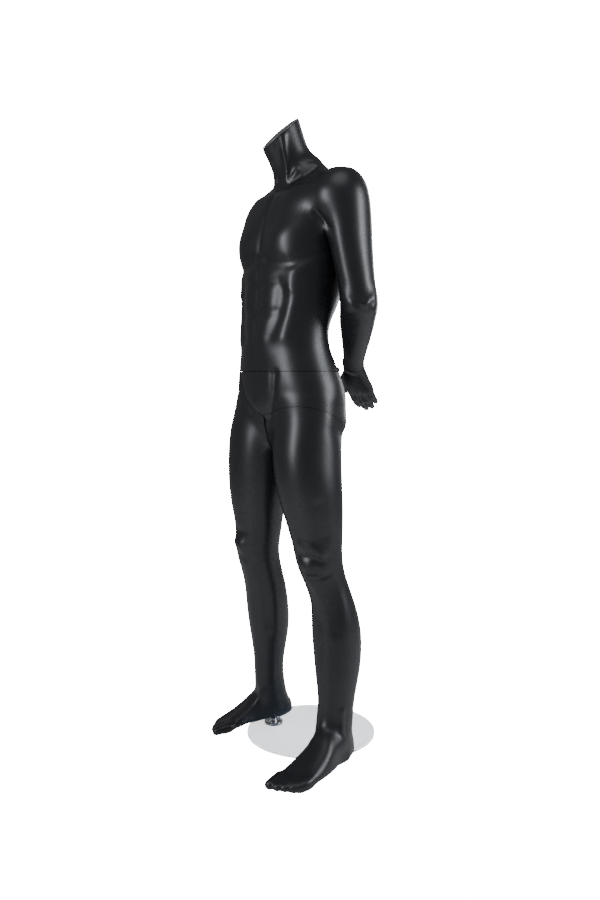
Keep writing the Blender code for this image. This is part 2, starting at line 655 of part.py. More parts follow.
def block(size, centre, point, axis):
    shape = bmesh.new()
    bmesh.ops.create_cube(shape, size=1, matrix=Matrix.Translation(centre) @ Matrix.Diagonal((*size, 1)))
    place(shape, point, axis)
    return shape


def twist_lock(names, shells, point, axis, radius, shaft, seam):
    """A bayonet fitting: a keyhole plate before the seam, and a stud plate past it whose bar sits behind the keyhole."""
    socket_name, stud_name = names
    socket_shell, stud_shell = shells
    face = seam / 2
    back = -face - PLATE_THICKNESS
    bar_top = back - 0.0005
    bar_length, bar_width, bar_thickness = 2 * (radius - 0.010), 1.6 * shaft, 0.004
    bore = add(stud_name + "_bore", rod(radius, -0.024, 0.022, point, axis), None)
    boolean(socket_shell, bore)
    boolean(stud_shell, bore)
    plate = radius - CLEARANCE
    socket = add(socket_name, rod(plate, back, -face, point, axis), STEEL, point)
    hole = add(socket_name + "_hole", rod(shaft + 0.001, back - 0.002, 0.002, point, axis), None)
    slot_size = (bar_width + 0.003, bar_length + 0.003, PLATE_THICKNESS + 0.004)
    slot = add(socket_name + "_slot", block(slot_size, (0, 0, (back - face) / 2), point, axis), None)
    boolean(socket, hole)
    boolean(socket, slot)
    profile = (
        (0, bar_top - bar_thickness),
        (shaft, bar_top - bar_thickness),
        (shaft, face),
        (plate, face),
        (plate, face + PLATE_THICKNESS),
        (0, face + PLATE_THICKNESS),
    )
    stud = add(stud_name, turned(profile, point, axis), STEEL, point)
    bar_size = (bar_length, bar_width, bar_thickness - 0.0006)
    bar = add(stud_name + "_bar", block(bar_size, (0, 0, bar_top - bar_thickness / 2), point, axis), None)
    boolean(stud, bar, "UNION")


def build_base():
    x, y = ROD_CENTRE
    top, edge = DISC_THICKNESS, DISC_EDGE
    disc_profile = (
        (0, 0),
        (DISC_RADIUS - edge, 0),
        (DISC_RADIUS, edge),
        (DISC_RADIUS, top - edge),
        (DISC_RADIUS - edge, top),
        (0, top),
    )
    disc = add("base_disc", turned(disc_profile, sides=80), GLASS)
    head, stem, gap = BOLT_HEAD_RADIUS, BOLT_RADIUS, CLEARANCE
    slope = head - stem
    play = 4 * gap
    countersink = (
        (0, -0.001),
        (head + play + 0.001, -0.001),
        (stem + gap, slope - gap + play),
        (stem + gap, top + 0.002),
        (0, top + 0.002),
    )
    boolean(disc, add("base_hole", turned(countersink, (x, y, 0)), None))
    flange_low = top + 2 * gap + GASKET_THICKNESS
    flange_top = flange_low + FLANGE_THICKNESS
    hub = stem + gap
    add("base_gasket", ring(hub, FLANGE_RADIUS, top + gap, top + gap + GASKET_THICKNESS, (x, y, 0)), RUBBER)
    bevel = 0.0012
    flange = (
        (hub, flange_low),
        (FLANGE_RADIUS, flange_low),
        (FLANGE_RADIUS, flange_top - bevel),
        (FLANGE_RADIUS - bevel, flange_top),
        (hub, flange_top),
    )
    add("base_flange", tube(flange, (x, y, 0), sides=36), CHROME)
    rod_low = flange_top + gap
    bolt_top = rod_low + 0.014
    rod_profile = (
        (0, bolt_top + 0.002),
        (hub, bolt_top + 0.002),
        (hub, rod_low),
        (COLLAR_RADIUS, rod_low),
        (COLLAR_RADIUS, rod_low + COLLAR_HEIGHT - bevel),
        (COLLAR_RADIUS - bevel, rod_low + COLLAR_HEIGHT),
        (ROD_RADIUS, rod_low + COLLAR_HEIGHT),
        (ROD_RADIUS, ROD_TOP - bevel),
        (ROD_RADIUS - bevel, ROD_TOP),
        (0, ROD_TOP),
    )
    add("foot_rod", turned(rod_profile, (x, y, 0)), CHROME)
    bolt = ((0, gap), (head, gap), (stem, gap + slope), (stem, bolt_top), (0, bolt_top))
    add("base_bolt", turned(bolt, (x, y, 0)), STEEL)
    stud = (
        (0, rod_low),
        (STUD_RADIUS * 1.4, rod_low),
        (STUD_RADIUS * 1.4, rod_low + 0.0015),
        (STUD_RADIUS, rod_low + 0.005),
        (STUD_RADIUS, rod_low + STUD_HEIGHT - 0.0008),
        (STUD_RADIUS - 0.0008, rod_low + STUD_HEIGHT),
        (0, rod_low + STUD_HEIGHT),
    )
    for i in range(3):
        angle = math.radians(52 + 120 * i)
        centre = (x + STUD_RING_RADIUS * math.cos(angle), y + STUD_RING_RADIUS * math.sin(angle), 0)
        add("flange_stud_" + str(i + 1), turned(stud, centre, sides=16), CHROME)
    return x, y


for item in list(bpy.data.objects):
    bpy.data.objects.remove(item)

UP = np.array([0.0, 0.0, 1.0])
neck_normal = unit(NECK_CUT_NORMAL)
hip_normal = unit(HIP_NORMAL)
shoulder_normals = {1: unit(SHOULDER_NORMAL), -1: unit(SHOULDER_NORMAL * (-1, 1, 1))}
shoulder_points = {1: SHOULDER_POINT, -1: SHOULDER_POINT * (-1, 1, 1)}
waist = np.array([0.0, 0.0, WAIST_HEIGHT])


def past(points, point, normal):
    """Distance past a plane, so the maximum of it and a field keeps what is behind the plane."""
    return (points - point) @ normal


def shape_of(mesh):
    shape = bmesh.new()
    shape.from_mesh(mesh)
    return shape


def largest_piece(shape):
    """Leaves only the connected piece with the most vertices."""
    left, best = set(shape.verts), set()
    while left:
        found, front = set(), [left.pop()]
        while front:
            vertex = front.pop()
            found.add(vertex)
            near = {edge.other_vert(vertex) for edge in vertex.link_edges} & left
            left -= near
            front += near
        best = max(best, found, key=len)
    bmesh.ops.delete(shape, geom=[v for v in shape.verts if v not in best], context="VERTS")
    return shape


def cavity(name, field, low, high, keep):
    return add(name, largest_piece(shape_of(solid_mesh(field, low, high, CAVITY_CELL, keep))), None)


# ---------- upper torso ----------
torso_mesh = solid_mesh(upper_body, (-0.26, -0.16, 0.96), (0.26, 0.20, 1.67), SHELL_CELL, TORSO_KEEP)
shape = shape_of(torso_mesh)
cut(shape, waist + UP * SEAM / 2, -UP)
cut(shape, NECK_CUT_POINT, neck_normal)
for side in (1, -1):
    cut(shape, shoulder_points[side] - shoulder_normals[side] * FINE_SEAM / 2, shoulder_normals[side])
torso = add("upper_torso", shape, SATIN_BLACK, Vector(waist + FIGURE))


def torso_hollow(points):
    field = trunk(points) + WALL
    field = smooth_max(field, past(points, waist + UP * END_WALL, -UP), 0.01)
    field = smooth_max(field, past(points, NECK_CUT_POINT - neck_normal * END_WALL, neck_normal), 0.01)
    for side in (1, -1):
        limit = shoulder_points[side] - shoulder_normals[side] * END_WALL
        field = smooth_max(field, past(points, limit, shoulder_normals[side]), 0.01)
    return field


boolean(torso, cavity("torso_hollow", torso_hollow, (-0.20, -0.14, 0.96), (0.20, 0.18, 1.65), HOLLOW_KEEP))

# ---------- neck cap ----------
shape = shape_of(solid_mesh(lambda p: trunk(p) + NECK_CAP_INSET, (-0.09, -0.12, 1.50), (0.09, 0.12, 1.68), 0.006, CAP_KEEP))
cut(shape, NECK_CUT_POINT + neck_normal * CLEARANCE, -neck_normal)
cut(shape, NECK_CUT_POINT + neck_normal * (CLEARANCE + NECK_CAP_THICKNESS), neck_normal)
neck_top = NECK_CUT_POINT + FIGURE
cap = add("neck_cap", shape, CAP_GREY, neck_top)
boolean(cap, add("cap_spigot", rod(0.0147, -0.014, 0.002, neck_top, neck_normal), None), "UNION")
boolean(torso, add("neck_bore", rod(0.0150, -0.030, 0.004, neck_top, neck_normal), None))

# ---------- pelvis, right leg and left leg ----------
lower_mesh = solid_mesh(lower_body, (-0.27, -0.24, -0.01), (0.27, 0.20, 1.01), SHELL_CELL, LEGS_KEEP)
shape = shape_of(lower_mesh)
cut(shape, waist - UP * SEAM / 2, UP)
pelvis = add("lower_body", shape, SATIN_BLACK, Vector(waist + FIGURE))


def leg_block(name, gap, turn=0.0):
    """What belongs to the left leg: under the hip plane and left of the middle, with a gap all round.

    In front of the hip the inner face leans back, so that the leg clears the other one as it turns.
    """
    lean = (0.30 + HIP_POINT[1]) * math.tan(turn)
    corners = []
    for x, y in ((gap + lean, -0.30), (gap, HIP_POINT[1]), (gap, 0.30), (0.30, -0.30), (0.30, 0.30)):
        plane = HIP_POINT[2] - ((x - HIP_POINT[0]) * HIP_NORMAL[0] + (y - HIP_POINT[1]) * HIP_NORMAL[1])
        corners += [(x, y, -0.05), (x, y, plane - gap * np.linalg.norm(HIP_NORMAL))]
    shape = bmesh.new()
    for corner in corners:
        shape.verts.new(Vector(np.array(corner) + FIGURE))
    bmesh.ops.convex_hull(shape, input=shape.verts)
    return add(name, shape, None)


boolean(pelvis, leg_block("pelvis_side", -SEAM / 2))
hip = HIP_POINT + FIGURE
left_leg = add("left_leg", shape_of(lower_mesh), SATIN_BLACK, hip)
boolean(left_leg, leg_block("leg_side", SEAM / 2, LEG_TURN), "INTERSECT")


def lower_hollow(points):
    field = lower_body(points) + WALL
    field = smooth_max(field, past(points, waist - UP * END_WALL, UP), 0.01)
    leg_side = smooth_max(past(points, HIP_POINT, hip_normal), -points[:, 0], 0.01)
    field = smooth_max(field, END_WALL - leg_side, 0.01)
    return smooth_max(field, CAVITY_FLOOR - points[:, 2], 0.01)


def leg_hollow(points):
    field = lower_body(points) + WALL
    field = smooth_max(field, past(points, HIP_POINT - hip_normal * END_WALL, hip_normal), 0.01)
    field = smooth_max(field, END_WALL - points[:, 0], 0.01)
    return smooth_max(field, CAVITY_FLOOR - points[:, 2], 0.01)


pelvis_inside = cavity("lower_hollow", lower_hollow, (-0.22, -0.18, 0.10), (0.22, 0.18, 1.01), HOLLOW_KEEP)
boolean(pelvis, pelvis_inside)
boolean(left_leg, cavity("leg_hollow", leg_hollow, (-0.02, -0.18, 0.10), (0.24, 0.18, 0.93), HOLLOW_KEEP))

waist_names = ("torso_waist_plate", "pelvis_waist_stud")
twist_lock(waist_names, (torso, pelvis), Vector(waist + FIGURE), -UP, WAIST_PLATE_RADIUS, 0.012, SEAM)
hip_names = ("pelvis_hip_plate", "left_leg_stud")
twist_lock(hip_names, (pelvis, left_leg), Vector(hip), -hip_normal, HIP_PLATE_RADIUS, 0.010, SEAM)

# ---------- arms and hands ----------
for side, word in ((1, "left"), (-1, "right")):
    shoulder, elbow, wrist = (np.array(joint) for joint in arm_joints[side])
    normal, pivot = shoulder_normals[side], shoulder_points[side]
    along = unit(wrist - elbow)
    whole = lambda points: whole_arm(points, side)
    low, high = sorted((side * 0.30, side * -0.02))
    low_corner, high_corner = (low, -0.08, 0.93), (high, 0.24, 1.53)
    if side < 0:
        high_corner = (0.06, 0.24, 1.53)
    shape = shape_of(solid_mesh(whole, low_corner, high_corner, SHELL_CELL, ARM_KEEP))
    cut(shape, pivot + normal * FINE_SEAM / 2, -normal, above=ARM_CUT_FLOOR)
    cut(shape, wrist - along * SEAM / 2, along)
    shape = largest_piece(shape)
    shell = add(word + "_arm", shape, SATIN_BLACK, pivot + FIGURE)

    def arm_hollow(points):
        field = arm(points, side) + WALL
        field = smooth_max(field, past(points, wrist - along * ARM_HOLLOW_END, along), 0.01)
        limit = past(points, pivot + normal * END_WALL, -normal)
        return smooth_max(field, np.minimum(limit, points[:, 2] - ARM_CUT_FLOOR), 0.01)

    boolean(shell, cavity(word + "_arm_hollow", arm_hollow, low_corner, high_corner, HOLLOW_KEEP))
    names = (word + "_shoulder_plate", word + "_arm_stud")
    twist_lock(names, (torso, shell), pivot + FIGURE, normal, SHOULDER_PLATE_RADIUS, 0.008, FINE_SEAM)

    centre = wrist + FIGURE
    reach = np.array([0.12, 0.12, 0.13])
    middle = wrist + unit(hands[side][0]) * 0.09
    whole = lambda points: whole_hand(points, side)
    for cell in HAND_CELLS:
        shape = shape_of(solid_mesh(whole, middle - reach, middle + reach, cell, HAND_KEEP))
        if not any(len(edge.link_faces) > 2 for edge in shape.edges):
            if all(vertex.is_manifold or vertex.is_boundary for vertex in shape.verts):
                break
    cut(shape, wrist + along * SEAM / 2, -along)
    palm = add(word + "_hand", largest_piece(shape), SATIN_BLACK, centre)
    face = SEAM / 2
    bore = WRIST_STUD_RADIUS + CLEARANCE
    tube_outer = WRIST_BORE_RADIUS - CLEARANCE
    arm_bore = rod(WRIST_BORE_RADIUS, -WRIST_TUBE_LENGTH - CLEARANCE, 0.004, centre, along)
    boolean(shell, add(word + "_wrist_bore", arm_bore, None))
    hand_bore = rod(bore, -0.004, HAND_STUD_DEPTH + CLEARANCE, centre, along)
    boolean(palm, add(word + "_hand_bore", hand_bore, None))
    add(word + "_wrist_socket", ring(bore, tube_outer, -WRIST_TUBE_LENGTH, -face, centre, along), STEEL, centre)
    stud = rod(WRIST_STUD_RADIUS, -WRIST_TUBE_LENGTH + 0.002, HAND_STUD_DEPTH, centre, along)
    add(word + "_hand_stud", stud, STEEL, centre)

# ---------- base, foot socket and calf socket ----------
x, y = build_base()
foot_bore = rod(FOOT_TUBE_RADIUS + CLEARANCE, -0.01, FOOT_TUBE_TOP + CLEARANCE, (x, y, 0))
boolean(pelvis, add("foot_bore", foot_bore, None))
foot_tube = ring(ROD_RADIUS + CLEARANCE, FOOT_TUBE_RADIUS, FOOT_TUBE_BOTTOM, FOOT_TUBE_TOP, (x, y, 0))
add("foot_socket", foot_tube, STEEL, (x, y, 0))
calf_x, calf_z = CALF_HOLE
line = np.array([(calf_x, 0.02 + 0.001 * i, calf_z) for i in range(100)])
calf_back = np.interp(0, leg(line, -1), line[:, 1])
calf_mouth = np.array([calf_x, calf_back, calf_z]) + FIGURE
calf_bore = rod(CALF_TUBE_RADIUS + CLEARANCE, -CALF_TUBE_LENGTH - 0.002, 0.012, calf_mouth, (0, 1, 0))
boolean(pelvis, add("calf_bore", calf_bore, None))
calf_tube = ring(CALF_TUBE_BORE, CALF_TUBE_RADIUS, -CALF_TUBE_LENGTH, -0.0015, calf_mouth, (0, 1, 0))
add("calf_socket", calf_tube, STEEL, calf_mouth)
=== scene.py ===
"""The looks of a headless full body mannequin in satin black on a round glass base.

Metres, +Z up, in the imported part's frame. The shells repeat the CAD's body surface with finer muscles.
"""

import json
import math

import bmesh
import bpy
import numpy as np
from mathutils import Matrix, Vector

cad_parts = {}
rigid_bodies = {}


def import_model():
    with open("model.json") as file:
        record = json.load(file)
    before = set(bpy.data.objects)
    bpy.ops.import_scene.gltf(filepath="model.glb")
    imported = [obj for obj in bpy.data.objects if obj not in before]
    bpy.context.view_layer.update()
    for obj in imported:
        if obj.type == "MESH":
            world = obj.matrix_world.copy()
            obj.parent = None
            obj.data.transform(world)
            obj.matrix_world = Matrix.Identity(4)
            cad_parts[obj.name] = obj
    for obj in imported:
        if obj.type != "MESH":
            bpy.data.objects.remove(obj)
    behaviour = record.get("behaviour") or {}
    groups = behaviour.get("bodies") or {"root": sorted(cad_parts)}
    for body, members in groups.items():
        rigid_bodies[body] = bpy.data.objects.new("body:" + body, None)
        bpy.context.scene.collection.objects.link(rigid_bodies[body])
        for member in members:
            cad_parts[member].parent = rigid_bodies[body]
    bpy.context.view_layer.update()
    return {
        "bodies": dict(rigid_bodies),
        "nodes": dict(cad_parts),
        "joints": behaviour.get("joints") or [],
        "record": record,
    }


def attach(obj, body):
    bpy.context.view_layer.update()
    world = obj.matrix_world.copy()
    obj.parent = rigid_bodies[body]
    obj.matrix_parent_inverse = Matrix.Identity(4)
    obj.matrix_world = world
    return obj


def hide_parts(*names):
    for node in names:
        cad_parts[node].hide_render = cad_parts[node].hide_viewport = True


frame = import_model()

# ---------- base ----------
DISC_RADIUS = 0.175
DISC_THICKNESS = 0.008
DISC_ROUND = 0.0015
CLEARANCE = 0.0003
FIRST_STUD_ANGLE = 52
ROD_CENTRE = (-0.098, -0.055)
ROD_RADIUS = 0.006
ROD_TOP = 0.108
FLANGE_RADIUS = 0.026
FLANGE_THICKNESS = 0.0045
GASKET_THICKNESS = 0.001
COLLAR_RADIUS = 0.0105
COLLAR_HEIGHT = 0.009
STUD_RING_RADIUS = 0.0165
STUD_RADIUS = 0.0032
STUD_HEIGHT = 0.012
STUD_COUNT = 3
# The studs' wider foot: its radius over the stud's, its height, and where it has tapered off.
STUD_FOOT = 1.4
STUD_FOOT_HEIGHT = 0.0018
STUD_TAPER_TOP = 0.005
FLANGE_ROUND = 0.0016
ROD_ROUND = 0.0014
STUD_ROUND = 0.0010
COLLAR_SLOPE = 0.001
DISC_SIDES = 192
FLANGE_SIDES = 96
STUD_SIDES = 32

# ---------- stage ----------
FLOOR_REACH = 30.0
FLOOR_DROP = 0.0005
FLOOR_DARK = (0.90, 0.90, 0.90)
FLOOR_LIGHT = (0.93, 0.93, 0.93)
# How bright the floor and the world look to the camera, and how much light the world gives. The floor
# gives none of its own.
FLOOR_SEEN = 29.0
WORLD_SEEN = 30.0
WORLD_LIGHT = 0.18
LIGHT_COLOUR = (0.92, 0.95, 1.0)
CAMERA_PLACE = (1.791, -1.437, 0.973)
CAMERA_AWAY = Vector((-0.788, 0.6157, 0.0))
CAMERA_RIGHT = Vector((0.6157, 0.788, 0.0))
CAMERA_PITCH = math.radians(4.85)
LENS = 34.4
SENSOR = 36.0

# ---------- shells ----------
BODY_CELL = 0.0034
HAND_CELL = 0.0022
CAP_CELL = 0.0016
WAIST_SEAM = 0.0012
WAIST_LIP_INSET = 0.004
WAIST_LIP_GAP = 0.0004
NECK_CAP_DOME = 0.006
NECK_CAP_FALL = 0.020
NECK_CAP_EDGE = 0.003
HIP_SEAM = 0.0008
SHOULDER_SEAM = 0.0004
WRIST_SEAM = 0.0012
SHARP_ANGLE = math.radians(35)
# Boxes round the body's parts, in figure coordinates.
TORSO_BOX = (-0.26, -0.16, 0.965), (0.26, 0.20, 1.67)
NECK_CAP_BOX = (-0.07, -0.09, 1.52), (0.07, 0.07, 1.64)
LEGS_BOX = (-0.27, -0.24, -0.01), (0.27, 0.20, 1.01)
ARM_INNER_SIDE = {1: -0.02, -1: -0.06}
ARM_OUTER_SIDE = 0.30
ARM_BOX = (-0.08, 0.93), (0.24, 1.53)
HAND_REACH = np.array([0.12, 0.12, 0.13])
HAND_MIDDLE = 0.09
# The block that cuts the left leg free, from the middle plane outward and from under the floor up.
LEG_BLOCK_REACH = 0.30
LEG_BLOCK_FLOOR = -0.05
# The field is worked out on every fourth grid point first, then closely where its value is under this
# many coarse steps.
COARSE_STEP = 4
CLOSE_STEPS = 1.25
LOFT_STOPS = 800
# Settling: the step for the gradient and the longest move in cells, and the least squared gradient.
SETTLE_NUDGE = 0.1
SETTLE_REACH = 0.6
SETTLE_FLOOR = 0.05

# ---------- figure ----------
FIGURE = np.array([0.044, -0.110, 0.0])
WAIST_HEIGHT = 0.987
CHEST_TOP = 1.33
ARM_CUT_FLOOR = 1.17
NECK_CUT_POINT = np.array([-0.006, -0.024, 1.565])
NECK_CUT_NORMAL = np.array([-0.266, -0.845, 1.0])
NECK_CAP_THICKNESS = 0.004
NECK_CAP_INSET = 0.0012
SHOULDER_NORMAL = np.array([0.940, 0.340, 0.073])
SHOULDER_POINT = np.array([0.1325, 0.034, 1.400])
HIP_NORMAL = np.array([-0.25, 0.38, 1.0])
HIP_POINT = np.array([0.085, 0.010, 0.861])
LEFT_SHOULDER = (0.173, 0.036, 1.412)
LEFT_ELBOW = (0.203, 0.058, 1.150)
LEFT_WRIST = (0.066, 0.162, 1.004)
RIGHT_SHOULDER = (-0.156, 0.047, 1.382)
RIGHT_ELBOW = (-0.228, 0.068, 1.150)
RIGHT_WRIST = (-0.126, 0.146, 0.975)
LEFT_HEEL = (0.151, 0.067, 0.0092)
LEFT_TOE = (0.206, -0.197, 0.0092)
RIGHT_HEEL = (-0.133, 0.105, 0.0290)
RIGHT_TOE = (-0.170, -0.140, 0.0160)

# Torso sections: height, centre x, centre y, half sizes left, right, back and front, and the power
# of the superellipse.
TORSO_SECTIONS = (
    (0.800, 0, 0.010, 0.100, 0.100, 0.080, 0.070, 2.2),
    (0.845, 0, 0.012, 0.146, 0.146, 0.104, 0.084, 2.3),
    (0.885, 0, 0.008, 0.157, 0.166, 0.101, 0.094, 2.3),
    (0.930, 0, 0.003, 0.160, 0.163, 0.105, 0.100, 2.3),
    (0.985, 0, 0.000, 0.149, 0.149, 0.098, 0.102, 2.3),
    (1.040, 0, -0.005, 0.134, 0.134, 0.082, 0.097, 2.3),
    (1.090, 0, -0.006, 0.130, 0.129, 0.078, 0.094, 2.3),
    (1.150, 0, -0.002, 0.139, 0.132, 0.095, 0.092, 2.35),
    (1.220, 0, 0.004, 0.145, 0.139, 0.111, 0.094, 2.4),
    (1.290, 0, 0.010, 0.143, 0.143, 0.110, 0.096, 2.4),
    (1.350, 0, 0.016, 0.146, 0.146, 0.104, 0.090, 2.4),
    (1.400, 0, 0.022, 0.140, 0.140, 0.092, 0.078, 2.3),
    (1.440, 0, 0.028, 0.112, 0.092, 0.072, 0.056, 2.2),
    (1.475, 0, 0.032, 0.080, 0.062, 0.054, 0.046, 2.1),
    (1.500, 0, 0.028, 0.055, 0.055, 0.045, 0.045, 2.0),
)
NECK_BASE = (0.0, 0.040, 1.44)
NECK_TOP = (-0.006, -0.034, 1.61)
NECK_SECTIONS = (
    (-0.02, 0, 0, 0.062, 0.062, 0.054, 0.052, 2.1),
    (0.03, 0, 0, 0.056, 0.056, 0.054, 0.049, 2.1),
    (0.08, 0, 0, 0.051, 0.051, 0.052, 0.050, 2.1),
    (0.12, 0, 0, 0.050, 0.050, 0.052, 0.058, 2.1),
    (0.22, 0, 0, 0.052, 0.052, 0.058, 0.067, 2.1),
)
# Muscles from the neck and the breast to the shoulders, each a chain of points and radii; the left one first.
TRAPEZIUS = (
    (((0.030, 0.048, 1.500), 0.022), ((0.095, 0.044, 1.452), 0.024), ((0.150, 0.036, 1.438), 0.024)),
    (((-0.030, 0.048, 1.490), 0.022), ((-0.090, 0.048, 1.432), 0.024), ((-0.140, 0.044, 1.405), 0.024)),
)
PECTORAL = (
    (((0.152, 0.010, 1.398), 0.046), ((0.080, -0.006, 1.390), 0.046)),
    (((-0.120, 0.026, 1.380), 0.044), ((-0.080, 0.000, 1.380), 0.046)),
)
LEFT_LEG_SECTIONS = (
    (0.040, 0.147, 0.036, 0.032, 0.032, 0.034, 0.038, 2.1),
    (0.070, 0.147, 0.036, 0.036, 0.036, 0.040, 0.046, 2.1),
    (0.110, 0.147, 0.036, 0.040, 0.040, 0.045, 0.050, 2.1),
    (0.160, 0.146, 0.040, 0.042, 0.042, 0.048, 0.050, 2.0),
    (0.220, 0.140, 0.047, 0.050, 0.049, 0.058, 0.056, 2.0),
    (0.290, 0.131, 0.053, 0.058, 0.057, 0.066, 0.060, 2.05),
    (0.350, 0.125, 0.050, 0.060, 0.058, 0.067, 0.055, 2.1),
    (0.410, 0.119, 0.044, 0.056, 0.053, 0.059, 0.050, 2.1),
    (0.460, 0.114, 0.032, 0.052, 0.052, 0.054, 0.055, 2.15),
    (0.510, 0.111, 0.018, 0.054, 0.055, 0.054, 0.062, 2.15),
    (0.560, 0.107, 0.010, 0.060, 0.062, 0.062, 0.063, 2.1),
    (0.640, 0.102, -0.002, 0.072, 0.073, 0.076, 0.073, 2.1),
    (0.720, 0.097, -0.010, 0.078, 0.083, 0.083, 0.082, 2.1),
    (0.800, 0.091, -0.008, 0.079, 0.086, 0.084, 0.085, 2.15),
    (0.860, 0.086, -0.002, 0.081, 0.086, 0.086, 0.083, 2.15),
    (0.920, 0.080, 0.000, 0.078, 0.080, 0.085, 0.080, 2.15),
)
RIGHT_LEG_SECTIONS = (
    (0.060, -0.134, 0.046, 0.030, 0.030, 0.034, 0.030, 2.1),
    (0.090, -0.133, 0.042, 0.033, 0.033, 0.040, 0.036, 2.1),
    (0.130, -0.131, 0.034, 0.036, 0.036, 0.044, 0.040, 2.1),
    (0.180, -0.128, 0.028, 0.036, 0.036, 0.044, 0.040, 2.0),
    (0.240, -0.124, 0.026, 0.042, 0.042, 0.050, 0.045, 2.0),
    (0.300, -0.122, 0.022, 0.051, 0.052, 0.060, 0.050, 2.05),
    (0.360, -0.119, 0.014, 0.055, 0.056, 0.062, 0.050, 2.1),
    (0.420, -0.116, 0.006, 0.054, 0.055, 0.057, 0.052, 2.1),
    (0.470, -0.113, -0.006, 0.052, 0.052, 0.053, 0.056, 2.15),
    (0.520, -0.110, -0.016, 0.055, 0.054, 0.053, 0.061, 2.15),
    (0.570, -0.107, -0.020, 0.062, 0.058, 0.061, 0.060, 2.1),
    (0.650, -0.102, -0.028, 0.073, 0.069, 0.075, 0.066, 2.1),
    (0.730, -0.097, -0.028, 0.083, 0.078, 0.087, 0.074, 2.1),
    (0.800, -0.091, -0.022, 0.086, 0.083, 0.096, 0.080, 2.15),
    (0.860, -0.086, -0.012, 0.086, 0.084, 0.096, 0.083, 2.15),
    (0.920, -0.080, 0.000, 0.080, 0.078, 0.085, 0.080, 2.15),
)
# Arm sections run from the joint down the bone; the columns are as above, in the bone's own frame.
UPPER_ARM_SECTIONS = (
    (-0.048, 0, 0, 0.030, 0.030, 0.034, 0.034, 2.0),
    (-0.020, 0, 0, 0.047, 0.047, 0.052, 0.050, 2.0),
    (0.010, 0, 0, 0.053, 0.054, 0.058, 0.056, 2.1),
    (0.060, 0, 0, 0.052, 0.050, 0.061, 0.057, 2.1),
    (0.120, 0, 0, 0.048, 0.043, 0.057, 0.053, 2.1),
    (0.180, 0, 0, 0.045, 0.041, 0.051, 0.048, 2.05),
    (0.240, 0, 0, 0.042, 0.040, 0.045, 0.043, 2.05),
    (0.290, 0, 0, 0.038, 0.036, 0.038, 0.038, 2.0),
)
FOREARM_SECTIONS = (
    (-0.030, 0, 0, 0.036, 0.036, 0.036, 0.036, 2.0),
    (0.020, 0, 0, 0.043, 0.043, 0.041, 0.041, 2.1),
    (0.060, 0, 0, 0.044, 0.043, 0.039, 0.039, 2.1),
    (0.120, 0, 0, 0.037, 0.037, 0.034, 0.034, 2.1),
    (0.180, 0, 0, 0.030, 0.030, 0.027, 0.027, 2.1),
    (0.230, 0, 0, 0.026, 0.026, 0.021, 0.021, 2.2),
    (0.290, 0, 0, 0.026, 0.026, 0.020, 0.020, 2.2),
)
# Foot sections run from heel to toe: distance, centre out, centre up, half sizes outer, inner, up
# and down, power.
FOOT_LENGTH = 0.285
FOOT_SECTIONS = (
    (0.006, 0, 0.030, 0.022, 0.022, 0.020, 0.022, 2.2),
    (0.030, 0, 0.036, 0.031, 0.031, 0.036, 0.034, 2.3),
    (0.070, 0.001, 0.044, 0.037, 0.034, 0.038, 0.041, 2.3),
    (0.110, 0.003, 0.044, 0.047, 0.036, 0.042, 0.040, 2.3),
    (0.150, 0.005, 0.036, 0.050, 0.040, 0.033, 0.032, 2.3),
    (0.190, 0.004, 0.025, 0.049, 0.043, 0.024, 0.022, 2.4),
    (0.225, 0.002, 0.018, 0.047, 0.042, 0.015, 0.016, 2.4),
    (0.245, -0.001, 0.015, 0.041, 0.036, 0.011, 0.013, 2.3),
)
TOES = (
    ((-0.030, 0.018, 0.232), (-0.029, 0.0155, 0.272), 0.0150, 0.0125),
    ((-0.006, 0.017, 0.232), (-0.007, 0.0140, 0.268), 0.0115, 0.0100),
    ((0.011, 0.016, 0.228), (0.010, 0.0130, 0.258), 0.0110, 0.0095),
    ((0.027, 0.015, 0.220), (0.025, 0.0120, 0.246), 0.0105, 0.0090),
    ((0.041, 0.014, 0.210), (0.038, 0.0110, 0.232), 0.0105, 0.0085),
)
PALM_SECTIONS = (
    (-0.020, 0, 0, 0.026, 0.026, 0.019, 0.019, 2.2),
    (0.005, 0, 0, 0.027, 0.027, 0.018, 0.018, 2.2),
    (0.030, 0.002, 0, 0.033, 0.032, 0.016, 0.017, 2.4),
    (0.060, 0.002, 0, 0.039, 0.037, 0.014, 0.016, 2.5),
    (0.085, 0, 0, 0.039, 0.037, 0.011, 0.013, 2.5),
    (0.096, 0, 0, 0.036, 0.034, 0.008, 0.010, 2.4),
)
# Fingers from the thumb's side: knuckle across, knuckle along, length, radius.
FINGERS = (
    (0.0285, 0.078, 0.080, 0.0083),
    (0.0095, 0.082, 0.088, 0.0085),
    (-0.0095, 0.079, 0.082, 0.0082),
    (-0.0275, 0.072, 0.066, 0.0076),
)
FINGER_PARTS = (0.50, 0.28, 0.22)
FINGER_TAPER = (1.05, 1.0, 0.95, 0.80)
THUMB = (
    ((0.018, -0.006, 0.020), 0.0140),
    ((0.042, -0.014, 0.052), 0.0115),
    ((0.052, -0.018, 0.082), 0.0098),
    ((0.054, -0.020, 0.104), 0.0080),
)
